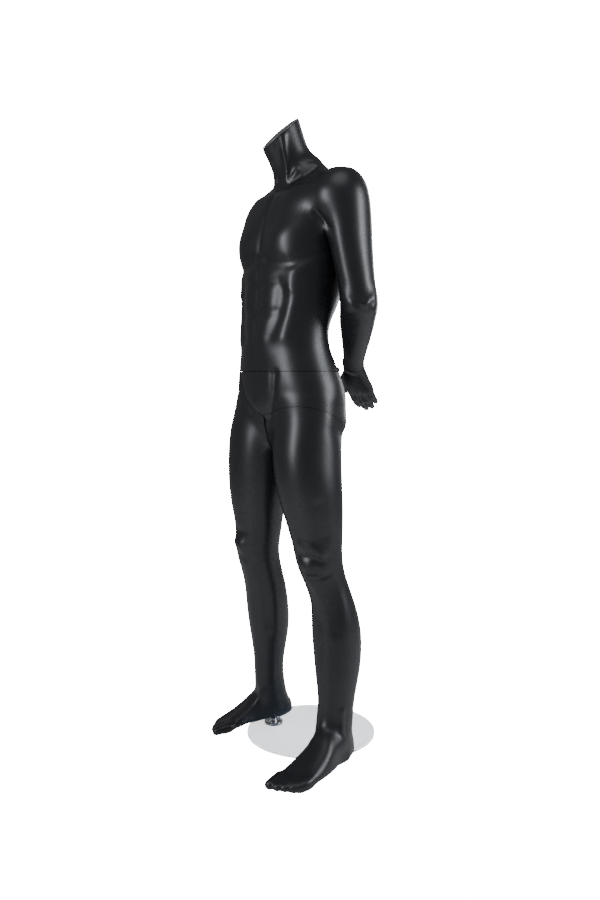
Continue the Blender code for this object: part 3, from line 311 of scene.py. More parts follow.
# Muscles and furrows on the trunk, as seen from the front or back: side, mirrored, points (x, z),
# radius, height.
RELIEF = (
    ("front", True, ((0.088, 1.302),), 0.055, 0.013),
    ("front", True, ((0.110, 1.335), (0.060, 1.310)), 0.040, 0.004),
    ("front", True, ((0.030, 1.256), (0.062, 1.246), (0.105, 1.240), (0.140, 1.268)), 0.015, -0.005),
    ("front", True, ((0.112, 1.222), (0.104, 1.188)), 0.018, 0.0045),
    ("front", True, ((0.040, 1.205), (0.046, 1.160)), 0.030, 0.0045),
    ("front", True, ((0.014, 1.196), (0.070, 1.204)), 0.011, -0.0025),
    ("front", True, ((0.014, 1.124), (0.066, 1.130)), 0.011, -0.0025),
    ("front", True, ((0.040, 1.100), (0.036, 1.040)), 0.030, 0.003),
    ("front", True, ((0.082, 1.180), (0.076, 1.125), (0.052, 1.070)), 0.016, -0.004),
    ("front", True, ((0.118, 1.175), (0.104, 1.120), (0.092, 1.070)), 0.020, 0.005),
    ("front", False, ((0.000, 1.405), (0.000, 1.280)), 0.010, -0.004),
    ("front", False, ((0.000, 1.235), (0.000, 1.060)), 0.007, -0.002),
    ("front", False, ((-0.095, 0.985), (-0.068, 0.925), (-0.036, 0.890), (0.004, 0.868)), 0.010, -0.007),
    ("front", False, ((0.066, 0.980), (0.058, 0.917), (0.034, 0.872)), 0.010, -0.006),
    ("front", False, ((-0.006, 0.905),), 0.034, 0.008),
    ("back", True, ((0.085, 1.360),), 0.060, 0.012),
    ("back", True, ((0.110, 1.250), (0.085, 1.160)), 0.050, 0.007),
    ("back", True, ((0.040, 1.100), (0.038, 1.010)), 0.028, 0.006),
    ("back", True, ((0.080, 0.895),), 0.070, 0.012),
    ("back", False, ((0.000, 1.480), (0.000, 1.020)), 0.018, -0.010),
    ("back", False, ((0.000, 0.960), (0.000, 0.850)), 0.016, -0.014),
)
BODY_BLEND = 0.060
NECK_BLEND = 0.030
MUSCLE_BLEND = 0.040
CHAIN_BLEND = 0.010
ELBOW_BLEND = 0.030
WRIST_BLEND = 0.010
LEG_BLEND = 0.030
FOOT_BLEND = 0.065
TOE_BLEND = 0.018
LEG_GAP_BLEND = 0.008
HAND_BLEND = 0.012
KNUCKLE_BLEND = 0.004
FINGER_BLEND = 0.006
THUMB_BLEND = 0.010
FRONT_FADE = 0.020
FOREARM_LENGTH = 0.230
WRIST_OVERLAP = 0.012
LEG_TURN = math.radians(2.5)

# Finer muscles, tendons and creases on the figure's surface, raised or sunk along a line of points:
# radius, height, points. Those on both sides are given for the left one.
MARKS_ON_BOTH_SIDES = {
    "hollow above the collar bone": (
        (0.009, -0.005),
        ((0.000, -0.025, 1.435), (0.035, -0.025, 1.445), (0.070, -0.005, 1.460), (0.080, 0.020, 1.480)),
    ),
    "collar bone": (
        (0.014, 0.003),
        ((0.020, -0.045, 1.415), (0.075, -0.045, 1.420), (0.110, -0.025, 1.435)),
    ),
    "armpit fold": (
        (0.008, -0.004),
        ((0.150, -0.030, 1.360), (0.160, -0.015, 1.345), (0.175, -0.010, 1.320)),
    ),
    "elbow crease": (
        (0.008, -0.004),
        ((0.235, 0.025, 1.140), (0.240, 0.035, 1.130), (0.245, 0.050, 1.130), (0.250, 0.060, 1.145)),
    ),
}
MARKS_ON_ONE_SIDE = {
    "strap muscle of the neck": (
        (0.008, 0.006),
        ((0.040, -0.045, 1.555), (0.035, -0.040, 1.525), (0.030, -0.030, 1.490), (0.025, -0.025, 1.450)),
    ),
    "side of the throat": ((0.014, -0.0035), ((0.020, -0.050, 1.535), (0.015, -0.035, 1.480))),
    "left root of the neck": ((0.007, 0.003), ((0.050, -0.010, 1.475), (0.035, -0.020, 1.450))),
    "right root of the neck": ((0.007, 0.003), ((-0.015, -0.045, 1.500), (-0.020, -0.025, 1.455))),
    "left hip": ((0.036, -0.006), ((0.160, 0.045, 0.895), (0.165, 0.040, 0.850))),
    "left thigh furrow": ((0.016, -0.003), ((0.170, -0.035, 0.665), (0.170, -0.015, 0.590))),
    "left thigh above the knee": (
        (0.012, 0.005),
        ((0.120, -0.050, 0.565), (0.145, -0.040, 0.560), (0.160, -0.020, 0.545)),
    ),
    "crease above the left kneecap": (
        (0.008, -0.005),
        ((0.115, -0.050, 0.540), (0.140, -0.040, 0.535), (0.160, -0.020, 0.525)),
    ),
    "left kneecap": ((0.015, 0.006), ((0.115, -0.045, 0.510), (0.130, -0.040, 0.505))),
    "crease below the left kneecap": (
        (0.008, -0.004),
        ((0.120, -0.035, 0.480), (0.150, -0.020, 0.485), (0.160, 0.000, 0.490)),
    ),
    "left shin": ((0.012, 0.003), ((0.130, -0.030, 0.460), (0.140, -0.005, 0.425), (0.140, 0.000, 0.390))),
    "left calf furrow": (
        (0.014, -0.003),
        ((0.165, 0.005, 0.470), (0.170, 0.020, 0.410), (0.165, 0.020, 0.350)),
    ),
    "left ankle": ((0.008, 0.003), ((0.190, 0.025, 0.150), (0.195, 0.020, 0.100))),
    "front of the left ankle": (
        (0.028, 0.006),
        ((0.165, -0.035, 0.100), (0.185, -0.020, 0.090), (0.200, 0.010, 0.080)),
    ),
    "outer edge of the left foot": (
        (0.015, 0.006),
        ((0.205, 0.035, 0.032), (0.230, -0.060, 0.030), (0.240, -0.130, 0.030)),
    ),
    "crease above the right kneecap": ((0.012, -0.003), ((-0.115, -0.080, 0.570), (-0.090, -0.080, 0.570))),
    "right kneecap": ((0.016, 0.008), ((-0.120, -0.080, 0.540), (-0.105, -0.080, 0.535))),
    "crease below the right kneecap": ((0.012, -0.003), ((-0.105, -0.075, 0.500), (-0.080, -0.065, 0.500))),
    "right shin furrow": (
        (0.014, -0.003),
        ((-0.070, -0.050, 0.470), (-0.070, -0.025, 0.400), (-0.080, -0.005, 0.300)),
    ),
    "tendon of the right instep": (
        (0.010, 0.004),
        ((-0.115, -0.005, 0.130), (-0.125, -0.020, 0.085), (-0.130, -0.065, 0.055)),
    ),
    "top of the right foot": ((0.022, -0.008), ((-0.175, -0.040, 0.075), (-0.180, -0.080, 0.055))),
}
MARK_REACH = 3


# ---------- the body as one smooth field, negative inside ----------
def unit(vector):
    vector = np.asarray(vector, float)
    return vector / np.linalg.norm(vector)


def smooth_min(a, b, blend):
    near = np.maximum(blend - np.abs(a - b), 0) / blend
    return np.minimum(a, b) - near**3 * blend / 6


def smooth_max(a, b, blend):
    return -smooth_min(-a, -b, blend)


def natural_spline(knots, values, samples):
    """The natural cubic spline through (knots, values), read at samples."""
    steps = np.diff(knots)
    system = np.eye(len(knots))
    bends = np.zeros_like(values)
    for i in range(1, len(knots) - 1):
        system[i, i - 1 : i + 2] = steps[i - 1], 2 * (steps[i - 1] + steps[i]), steps[i]
        slopes = (values[i + 1] - values[i]) / steps[i] - (values[i] - values[i - 1]) / steps[i - 1]
        bends[i] = 6 * slopes
    curves = np.linalg.solve(system, bends)
    i = np.clip(np.searchsorted(knots, samples) - 1, 0, len(knots) - 2)
    before, after, step = (samples - knots[i])[:, None], (knots[i + 1] - samples)[:, None], steps[i][:, None]
    cubic = (curves[i] * after**3 + curves[i + 1] * before**3) / (6 * step)
    start = (values[i] / step - curves[i] * step / 6) * after
    return cubic + start + (values[i + 1] / step - curves[i + 1] * step / 6) * before


def axes_along(start, end, front):
    """A frame at start whose third axis runs to end and whose second leans toward front."""
    along = unit(np.subtract(end, start))
    side = unit(np.cross(front, along))
    return np.asarray(start, float), np.array([side, np.cross(along, side), along])


def local(points, frame):
    origin, axes = frame
    return (points - origin) @ axes.T


def loft(sections, end_blend=0.02):
    """A field around sections stacked along the third axis."""
    table = np.array(sections, float)
    stops = np.linspace(table[0, 0], table[-1, 0], LOFT_STOPS)
    smooth = natural_spline(table[:, 0], table[:, 1:], stops)
    middle, half = (stops[0] + stops[-1]) / 2, (stops[-1] - stops[0]) / 2

    def field(points):
        along = points[:, 2]
        centre_x, centre_y, left, right, back, front, power = (
            np.interp(along, stops, smooth[:, i]) for i in range(7)
        )
        x, y = points[:, 0] - centre_x, points[:, 1] - centre_y
        wide, deep = np.where(x > 0, left, right), np.where(y > 0, back, front)
        u, v = np.abs(x) / wide + 1e-9, np.abs(y) / deep + 1e-9
        total = u**power + v**power
        reach = total ** (1 / power)
        slope = np.hypot(u ** (power - 1) / wide, v ** (power - 1) / deep) * reach / total
        side = (reach - 1) / np.maximum(slope, 1 / np.maximum(wide, deep))
        return smooth_max(side, np.abs(along - middle) - half, end_blend)

    return field


def round_cone(points, start, end, start_radius, end_radius):
    start = np.asarray(start, float)
    run = np.asarray(end, float) - start
    share = np.clip(((points - start) @ run) / (run @ run), 0, 1)
    return np.linalg.norm(points - start - share[:, None] * run, axis=1) - (
        start_radius + (end_radius - start_radius) * share
    )


def chain(points, stops, blend):
    """Round cones through stops, each a point and a radius."""
    field = np.full(len(points), 1.0)
    for (start, start_radius), (end, end_radius) in zip(stops[:-1], stops[1:]):
        field = smooth_min(field, round_cone(points, start, end, start_radius, end_radius), blend)
    return field


def stroke(flat, path, radius, height):
    """A soft ridge or furrow along a path, with as many coordinates as the points have."""
    path = np.array(path, float)
    if len(path) == 1:
        distance = np.linalg.norm(flat - path[0], axis=1)
        return height * np.exp(-((distance / radius) ** 2))
    distance = np.full(len(flat), 1.0)
    for start, end in zip(path[:-1], path[1:]):
        run = end - start
        share = np.clip(((flat - start) @ run) / (run @ run), 0, 1)
        distance = np.minimum(distance, np.linalg.norm(flat - start - share[:, None] * run, axis=1))
    return height * np.exp(-((distance / radius) ** 2))


torso_loft = loft(TORSO_SECTIONS)
neck_loft = loft(NECK_SECTIONS, end_blend=0.01)
neck_frame = axes_along(NECK_BASE, NECK_TOP, (0, 1, 0))
leg_lofts = {1: loft(LEFT_LEG_SECTIONS), -1: loft(RIGHT_LEG_SECTIONS)}
foot_ends = {1: (LEFT_HEEL, LEFT_TOE), -1: (RIGHT_HEEL, RIGHT_TOE)}
arm_joints = {
    1: (LEFT_SHOULDER, LEFT_ELBOW, LEFT_WRIST),
    -1: (RIGHT_SHOULDER, RIGHT_ELBOW, RIGHT_WRIST),
}
upper_arm_loft = loft(UPPER_ARM_SECTIONS, end_blend=0.03)
forearm_loft = loft(FOREARM_SECTIONS)
foot_loft = loft(FOOT_SECTIONS, end_blend=0.012)
palm_loft = loft(PALM_SECTIONS, end_blend=0.008)
# Each hand: direction of the fingers, the way its back faces, side of the thumb, lean of each of the thumb's
# bones, curl of each of a finger's bones, fullness of the fingers, spread of the fingers in degrees.
hands = {
    1: ((-0.293, 0.564, -0.797), (0.285, -0.683, -0.668), -1, 0.000, 0.156, 1.14, (1, 0, 0, -1)),
    -1: ((0.920, 0.000, -0.420), (0.000, -1.000, 0.000), 1, 0.004, 0.040, 1.0, (-5, 0, 7, 16)),
}


def trunk(points):
    field = smooth_min(torso_loft(points), neck_loft(local(points, neck_frame)), NECK_BLEND)
    for stops in (*TRAPEZIUS, *PECTORAL):
        field = smooth_min(field, chain(points, stops, CHAIN_BLEND), MUSCLE_BLEND)
    facing = 1 / (1 + np.exp(points[:, 1] / FRONT_FADE))
    for where, mirrored, path, radius, height in RELIEF:
        share = facing if where == "front" else 1 - facing
        for side in (-1, 1) if mirrored else (1,):
            flat = points[:, [0, 2]] * (side, 1)
            field = field - share * stroke(flat, path, radius, height)
    return field


def arm(points, side):
    shoulder, elbow, wrist = arm_joints[side]
    upper = upper_arm_loft(local(points, axes_along(shoulder, elbow, (0, 1, 0))) * (side, 1, 1))
    size = np.linalg.norm(np.subtract(wrist, elbow)) / FOREARM_LENGTH
    inner = local(points, axes_along(elbow, wrist, (-0.6 * side, 0.8, 0))) / (1, 1, size)
    lower = smooth_max(forearm_loft(inner), inner[:, 2] - FOREARM_LENGTH - WRIST_OVERLAP, WRIST_BLEND)
    return smooth_min(upper, lower, ELBOW_BLEND)


def leg(points, side):
    heel, toe = foot_ends[side]
    size = np.linalg.norm(np.subtract(toe, heel)) / FOOT_LENGTH
    inner = local(points, axes_along(heel, toe, (0, 0, 1))) * (side, 1, 1) / size
    foot = foot_loft(inner)
    for start, end, start_radius, end_radius in TOES:
        foot = smooth_min(foot, round_cone(inner, start, end, start_radius, end_radius), TOE_BLEND)
    return smooth_min(leg_lofts[side](points), foot * size, FOOT_BLEND)


def hand_place(points, side):
    direction, back, thumb_side = hands[side][:3]
    wrist = np.array(arm_joints[side][2])
    return local(points, axes_along(wrist, wrist + unit(direction), back)) * (thumb_side, 1, 1)


def hand(points, side):
    inner = hand_place(points, side)
    field = palm_loft(inner)
    lean, curl, fullness, spread = hands[side][3:]
    for (across, along, length, radius), angle in zip(FINGERS, spread):
        turn, bend = math.radians(-angle), 0.0
        stops = [(np.array([across, 0, along]), radius * fullness * FINGER_TAPER[0])]
        for share, thinner in zip(FINGER_PARTS, FINGER_TAPER[1:]):
            bend += curl
            forward = math.cos(bend)
            step = np.array([math.sin(turn) * forward, -math.sin(bend), math.cos(turn) * forward])
            stops.append((stops[-1][0] + step * length * share, radius * fullness * thinner))
        field = smooth_min(field, chain(inner, stops, KNUCKLE_BLEND), FINGER_BLEND)
    thumb = [(np.add(point, (lean * i, 0, 0)), radius) for i, (point, radius) in enumerate(THUMB)]
    return smooth_min(field, chain(inner, thumb, KNUCKLE_BLEND), THUMB_BLEND)


def above_chest(points):
    return CHEST_TOP - points[:, 2]


def upper_body(points):
    field = trunk(points)
    for side in (-1, 1):
        field = smooth_min(field, np.maximum(arm(points, side), above_chest(points)), BODY_BLEND)
    return field


def whole_arm(points, side):
    field = smooth_min(arm(points, side), np.maximum(trunk(points), above_chest(points)), BODY_BLEND)
    return smooth_min(field, palm_loft(hand_place(points, side)), HAND_BLEND)


def whole_hand(points, side):
    return smooth_min(arm(points, side), hand(points, side), HAND_BLEND)


def lower_body(points):
    legs = smooth_min(leg(points, 1), leg(points, -1), LEG_GAP_BLEND)
    return smooth_min(trunk(points), legs, LEG_BLEND)


def marks(points):
    """The summed height of the finer marks at each point."""
    placed = [(mark, 1) for mark in (*MARKS_ON_BOTH_SIDES.values(), *MARKS_ON_ONE_SIDE.values())]
    placed += [(mark, -1) for mark in MARKS_ON_BOTH_SIDES.values()]
    total = np.zeros(len(points))
    for ((radius, height), path), side in placed:
        line = np.array(path) * (side, 1, 1)
        low, high = line.min(0) - MARK_REACH * radius, line.max(0) + MARK_REACH * radius
        near = np.all((points > low) & (points < high), axis=1)
        if near.any():
            total[near] += stroke(points[near], line, radius, height)
    return total


def fine(field):
    return lambda points: field(points) - marks(points)


# ---------- fields to meshes ----------
def sample(field, low, count, cell):
    """The field on a grid, worked out closely only near its surface."""
    step = COARSE_STEP * cell
    coarse_count = np.ceil((count - 1) / COARSE_STEP).astype(int) + 1
    axes = [low[i] + step * np.arange(coarse_count[i]) for i in range(3)]
    grid = np.stack(np.meshgrid(*axes, indexing="ij"), -1).reshape(-1, 3)
    coarse = field(grid).reshape(coarse_count)
    nearest = np.ix_(*(np.round(np.arange(count[i]) / COARSE_STEP).astype(int) for i in range(3)))
    value = coarse[nearest]
    close = np.argwhere(np.abs(value) < CLOSE_STEPS * step)
    value[tuple(close.T)] = field(low + cell * close)
    return value


def surface(field, low, high, cell):
    """The quads of the field's zero surface, one vertex for each cell that it crosses."""
    low = np.array(low, float)
    count = np.ceil((np.array(high) - low) / cell).astype(int) + 1
    value = sample(field, low, count, cell)
    inside = value < 0
    corners = [np.array((i, j, k)) for i in (0, 1) for j in (0, 1) for k in (0, 1)]
    filled = np.zeros(count - 1, int)
    for corner in corners:
        filled += inside[tuple(slice(corner[i], count[i] - 1 + corner[i]) for i in range(3))]
    active = (filled > 0) & (filled < 8)
    index = np.full(active.shape, -1)
    index[active] = np.arange(active.sum())
    cells = np.argwhere(active)
    total, crossed = np.zeros((len(cells), 3)), np.zeros(len(cells))
    for start in corners:
        for axis in range(3):
            if start[axis]:
                continue
            end = start + np.eye(3, dtype=int)[axis]
            before, after = value[tuple((cells + start).T)], value[tuple((cells + end).T)]
            crosses = (before < 0) != (after < 0)
            share = np.where(crosses, before / np.where(crosses, before - after, 1), 0)
            total[crosses] += (start + share[:, None] * (end - start))[crosses]
            crossed[crosses] += 1
    points = low + cell * (cells + total / crossed[:, None])
    quads = []
    for axis in range(3):
        near, far = [slice(None)] * 3, [slice(None)] * 3
        near[axis], far[axis] = slice(0, -1), slice(1, None)
        edges = np.argwhere(inside[tuple(near)] != inside[tuple(far)])
        first, second = (np.eye(3, dtype=int)[other] for other in range(3) if other != axis)
        others = [other for other in range(3) if other != axis]
        held = np.all((edges[:, others] > 0) & (edges[:, others] < count[others] - 1), axis=1)
        edges = edges[held]
        ring = (edges - first - second, edges - second, edges, edges - first)
        quad = np.stack([index[tuple(corner.T)] for corner in ring], 1)
        leaving = inside[tuple(edges.T)]
        flipped = leaving if axis == 1 else ~leaving
        quad[flipped] = quad[flipped][:, ::-1]
        quads.append(quad)
    return settle(field, points, cell), np.concatenate(quads)


def settle(field, points, cell):
    """Moves points onto the zero surface along its gradient."""
    nudge = SETTLE_NUDGE * cell
    steps = nudge * np.eye(3)
    gradient = np.stack([(field(points + s) - field(points - s)) / (2 * nudge) for s in steps], 1)
    squared = np.maximum((gradient**2).sum(1), SETTLE_FLOOR)
    move = (field(points) / squared)[:, None] * gradient
    length = np.linalg.norm(move, axis=1, keepdims=True)
    return points - move * np.minimum(1, SETTLE_REACH * cell / np.maximum(length, 1e-12))


def solid(field, low, high, cell):
    """A bmesh of a field, in world coordinates."""
    points, quads = surface(field, low, high, cell)
    mesh = bpy.data.meshes.new("surface")
    mesh.from_pydata((points + FIGURE).tolist(), [], quads.tolist())
    shape = bmesh.new()
    shape.from_mesh(mesh)
    bpy.data.meshes.remove(mesh)
    return shape


def cut(shape, point, normal, above=0.0):
    """Cuts away what is in front of a plane and higher than above, in figure coordinates, and closes it."""
    place = Vector(point + FIGURE)
    faces = [face for face in shape.faces if all(vertex.co.z > above for vertex in face.verts)]
    geometry = list({part for face in faces for part in (*face.verts, *face.edges)}) + faces
    bmesh.ops.bisect_plane(
        shape, geom=geometry, dist=1e-6, plane_co=place, plane_no=Vector(normal), clear_outer=True
    )
    facing = Vector(normal).normalized()
    rim = [
        edge
        for edge in shape.edges
        if edge.is_boundary and all(abs((vertex.co - place).dot(facing)) < 1e-5 for vertex in edge.verts)
    ]
    bmesh.ops.holes_fill(shape, edges=rim, sides=0)


def largest_piece(shape):
    """The same bmesh with only the connected piece that has the most vertices."""
    left, best = set(shape.verts), set()
    while left:
        found, front = set(), [left.pop()]
        while front:
            vertex = front.pop()
            found.add(vertex)
            near = {edge.other_vert(vertex) for edge in vertex.link_edges} & left
            left -= near
            front += near
        best = max(best, found, key=len)
    bmesh.ops.delete(shape, geom=[v for v in shape.verts if v not in best], context="VERTS")
    return shape


# ---------- materials ----------
def new_material(name):
    made = bpy.data.materials.new(name)
    made.use_nodes = True
    return made, made.node_tree, made.node_tree.nodes["Principled BSDF"]


def noise(tree, scale, detail=3.0):
    where = tree.nodes.new("ShaderNodeTexCoord")
    made = tree.nodes.new("ShaderNodeTexNoise")
    made.inputs["Scale"].default_value = scale
    made.inputs["Detail"].default_value = detail
    tree.links.new(where.outputs["Object"], made.inputs["Vector"])
    return made.outputs["Fac"]


def spread(tree, value, low, high):
    made = tree.nodes.new("ShaderNodeMapRange")
    made.inputs["To Min"].default_value = low
    made.inputs["To Max"].default_value = high
    tree.links.new(value, made.inputs["Value"])
    return made.outputs["Result"]


def mixed(tree, value, first, second):
    made = tree.nodes.new("ShaderNodeValToRGB")
    made.color_ramp.elements[0].color = (*first, 1)
    made.color_ramp.elements[1].color = (*second, 1)
    tree.links.new(value, made.inputs["Fac"])
    return made.outputs["Color"]


def bump(tree, shader, value, strength, distance):
    made = tree.nodes.new("ShaderNodeBump")
    made.inputs["Strength"].default_value = strength
    made.inputs["Distance"].default_value = distance
    tree.links.new(value, made.inputs["Height"])
    tree.links.new(made.outputs["Normal"], shader.inputs["Normal"])


GRAIN_DETAIL = 2.0


def material(name, mottle, roughness, grain=None, **sockets):
    """A material of mottled colour (scale, dark, light), uneven roughness (scale, low, high) and a fine
    grain (scale, strength, depth)."""
    made, tree, shader = new_material(name)
    tree.links.new(mixed(tree, noise(tree, mottle[0]), *mottle[1:]), shader.inputs["Base Color"])
    tree.links.new(spread(tree, noise(tree, roughness[0]), *roughness[1:]), shader.inputs["Roughness"])
    for socket, value in sockets.items():
        shader.inputs[socket].default_value = value
    if grain:
        bump(tree, shader, noise(tree, grain[0], GRAIN_DETAIL), *grain[1:])
    return made


MATERIALS = {
    "satin_black": material(
        "satin_black",
        (9.0, (0.0080, 0.0084, 0.0105), (0.0115, 0.0120, 0.0146)),
        (30.0, 0.33, 0.40),
        (700.0, 0.06, 0.0004),
    ),
    # The neck cap's grey is painted sheen: a glossy black cap given a lighter colour that stands in for the
    # light its top reflects.
    "light_grey": material(
        "cap_grey_painted_sheen",
        (40.0, (0.075, 0.080, 0.085), (0.100, 0.106, 0.112)),
        (120.0, 0.28, 0.36),
        (900.0, 0.05, 0.0003),
    ),
    "chrome": material(
        "chrome",
        (60.0, (0.62, 0.63, 0.65), (0.74, 0.75, 0.77)),
        (250.0, 0.10, 0.18),
        (1500.0, 0.03, 0.0002),
        Metallic=1.0,
    ),
    "steel": material(
        "steel",
        (80.0, (0.40, 0.41, 0.42), (0.52, 0.53, 0.54)),
        (400.0, 0.28, 0.42),
        (900.0, 0.08, 0.0002),
        Metallic=1.0,
    ),
    "rubber": material(
        "rubber",
        (90.0, (0.020, 0.020, 0.021), (0.032, 0.032, 0.033)),
        (200.0, 0.65, 0.80),
        (1200.0, 0.10, 0.0002),
    ),
    "glass": material(
        "glass",
        (5.0, (0.38, 0.50, 0.66), (0.42, 0.54, 0.70)),
        (30.0, 0.01, 0.03),
        Alpha=0.78,
        IOR=1.5,
    ),
}


def piece(name, shape, slot, body, cad_node):
    """Makes a piece of a bmesh that stands for a CAD node and rides on its body."""
    shape.normal_update()
    bmesh.ops.recalc_face_normals(shape, faces=shape.faces)
    mesh = bpy.data.meshes.new(name)
    shape.to_mesh(mesh)
    shape.free()
    mesh.materials.append(MATERIALS[slot])
    mesh.shade_smooth()
    mesh.set_sharp_from_angle(angle=SHARP_ANGLE)
    made = bpy.data.objects.new(name, mesh)
    bpy.context.scene.collection.objects.link(made)
    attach(made, body)
    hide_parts(cad_node)


def turned(profile, point=(0, 0, 0), sides=64):
    """A shape turned about a vertical axis, from (radius, height) points that start and end on it."""
    shape = bmesh.new()
    rings = []
    for radius, height in profile:
        if radius == 0:
            rings.append([shape.verts.new((0, 0, height))])
            continue
        angles = [2 * math.pi * i / sides for i in range(sides)]
        rings.append([shape.verts.new((radius * math.cos(a), radius * math.sin(a), height)) for a in angles])
    for low, high in zip(rings[:-1], rings[1:]):
        for i in range(sides):
            j = (i + 1) % sides
            corners = [low[i % len(low)], low[j % len(low)], high[j % len(high)], high[i % len(high)]]
            shape.faces.new(list(dict.fromkeys(corners)))
    shape.transform(Matrix.Translation(point))
    return shape


# ---------- the shells ----------
neck_normal = unit(NECK_CUT_NORMAL)
shoulder_normals = {1: unit(SHOULDER_NORMAL), -1: unit(SHOULDER_NORMAL * (-1, 1, 1))}
shoulder_points = {1: SHOULDER_POINT, -1: SHOULDER_POINT * (-1, 1, 1)}
waist = np.array([0.0, 0.0, WAIST_HEIGHT])
UP = np.array([0.0, 0.0, 1.0])


def boolean(shape, cutter, operation):
    """Changes a bmesh by an exact boolean with another, which it frees."""
    holders = []
    for name, part in (("target", shape), ("cutter", cutter)):
        mesh = bpy.data.meshes.new(name)
        part.normal_update()
        bmesh.ops.recalc_face_normals(part, faces=part.faces)
        part.to_mesh(mesh)
        holder = bpy.data.objects.new(name, mesh)
        bpy.context.scene.collection.objects.link(holder)
        holders.append(holder)
    modifier = holders[0].modifiers.new("Cut", "BOOLEAN")
    modifier.object = holders[1]
    modifier.operation = operation
    modifier.solver = "EXACT"
    graph = bpy.context.evaluated_depsgraph_get()
    result = bpy.data.meshes.new_from_object(holders[0].evaluated_get(graph))
    shape.clear()
    shape.from_mesh(result)
    bpy.data.meshes.remove(result)
    for holder in holders:
        bpy.data.objects.remove(holder)
    cutter.free()


def leg_block(gap, turn=0.0):
    """What belongs to the left leg: under the hip plane and left of the middle, with a gap all round."""
    reach = LEG_BLOCK_REACH
    lean = (reach + HIP_POINT[1]) * math.tan(turn)
    shape = bmesh.new()
    outline = [(gap + lean, -reach), (gap, reach), (reach, -reach), (reach, reach)]
    if turn:
        outline.append((gap, HIP_POINT[1]))
    for x, y in outline:
        plane = HIP_POINT[2] - ((x - HIP_POINT[0]) * HIP_NORMAL[0] + (y - HIP_POINT[1]) * HIP_NORMAL[1])
        for z in (LEG_BLOCK_FLOOR, plane - gap * np.linalg.norm(HIP_NORMAL)):
            shape.verts.new(Vector(np.array([x, y, z]) + FIGURE))
    bmesh.ops.convex_hull(shape, input=shape.verts)
    return shape


def torso_shell():
    shape = solid(fine(upper_body), *TORSO_BOX, BODY_CELL)
    cut(shape, waist + UP * WAIST_SEAM / 2, -UP)
    cut(shape, NECK_CUT_POINT, neck_normal)
    for side in (1, -1):
        cut(shape, shoulder_points[side] - shoulder_normals[side] * SHOULDER_SEAM / 2, shoulder_normals[side])
    piece("torso_shell", largest_piece(shape), "satin_black", "torso", "upper_torso")


def neck_cap():
    base = NECK_CUT_POINT + neck_normal * CLEARANCE

    def field(points):
        height = (points - base) @ neck_normal
        inner = trunk(points) + NECK_CAP_INSET
        dome = NECK_CAP_DOME * (1 - np.exp(np.minimum(inner, 0) / NECK_CAP_FALL))
        slab = np.maximum(-height, height - NECK_CAP_THICKNESS - dome)
        return smooth_max(inner, slab, NECK_CAP_EDGE)

    shape = solid(field, *NECK_CAP_BOX, CAP_CELL)
    piece("neck_cap_disc", largest_piece(shape), "light_grey", "torso", "neck_cap")


def lower_shells():
    shape = solid(fine(lower_body), *LEGS_BOX, BODY_CELL)
    cut(shape, waist - UP * WAIST_SEAM / 2, UP)
    waist_face = max(shape.faces, key=lambda face: len(face.verts))
    bmesh.ops.inset_individual(shape, faces=[waist_face], thickness=WAIST_LIP_INSET)
    bmesh.ops.translate(shape, verts=waist_face.verts, vec=UP * (WAIST_SEAM - WAIST_LIP_GAP))
    left = shape.copy()
    boolean(left, leg_block(HIP_SEAM / 2, LEG_TURN), "INTERSECT")
    piece("left_leg_shell", left, "satin_black", "left_leg", "left_leg")
    boolean(shape, leg_block(-HIP_SEAM / 2), "DIFFERENCE")
    piece("pelvis_shell", shape, "satin_black", "figure", "lower_body")


def arm_shell(side, word):
    elbow, wrist = (np.array(joint) for joint in arm_joints[side][1:])
    normal, pivot = shoulder_normals[side], shoulder_points[side]
    along = unit(wrist - elbow)
    sides = sorted((side * ARM_OUTER_SIDE, side * ARM_INNER_SIDE[side]))
    low, high = ((x, *rest) for x, rest in zip(sides, ARM_BOX))
    shape = solid(fine(lambda p: whole_arm(p, side)), low, high, BODY_CELL)
    cut(shape, pivot + normal * SHOULDER_SEAM / 2, -normal, above=ARM_CUT_FLOOR)
    cut(shape, wrist - along * WRIST_SEAM / 2, along)
    piece(word + "_arm_shell", largest_piece(shape), "satin_black", word + "_arm", word + "_arm")


def hand_shell(side, word):
    elbow, wrist = (np.array(joint) for joint in arm_joints[side][1:])
    along = unit(wrist - elbow)
    middle = wrist + unit(hands[side][0]) * HAND_MIDDLE
    low, high = middle - HAND_REACH, middle + HAND_REACH
    shape = solid(fine(lambda p: whole_hand(p, side)), low, high, HAND_CELL)
    cut(shape, wrist + along * WRIST_SEAM / 2, -along)
    piece(word + "_hand_shell", largest_piece(shape), "satin_black", word + "_hand", word + "_hand")


torso_shell()
neck_cap()
lower_shells()
for side, word in ((1, "left"), (-1, "right")):
    arm_shell(side, word)
    hand_shell(side, word)


# ---------- the base ----------
def rounded(corners, radius, steps=4):
    """The corners of a turned profile with each inner one rounded off."""
    path = [Vector(corners[0])]
    for before, corner, after in zip(corners[:-2], corners[1:-1], corners[2:]):
        before, corner, after = Vector(before), Vector(corner), Vector(after)
        near = min(radius, (before - corner).length / 2, (after - corner).length / 2)
        start = corner + (before - corner).normalized() * near
        end = corner + (after - corner).normalized() * near
        for i in range(steps + 1):
            share = i / steps
            path.append(start.lerp(corner, share).lerp(corner.lerp(end, share), share))
    path.append(Vector(corners[-1]))
    return [tuple(point) for point in path]


def glass_disc():
    corners = [(0, 0), (DISC_RADIUS, 0), (DISC_RADIUS, DISC_THICKNESS), (0, DISC_THICKNESS)]
    shape = turned(rounded(corners, DISC_ROUND), sides=DISC_SIDES)
    piece("glass_disc", shape, "glass", "base", "base_disc")


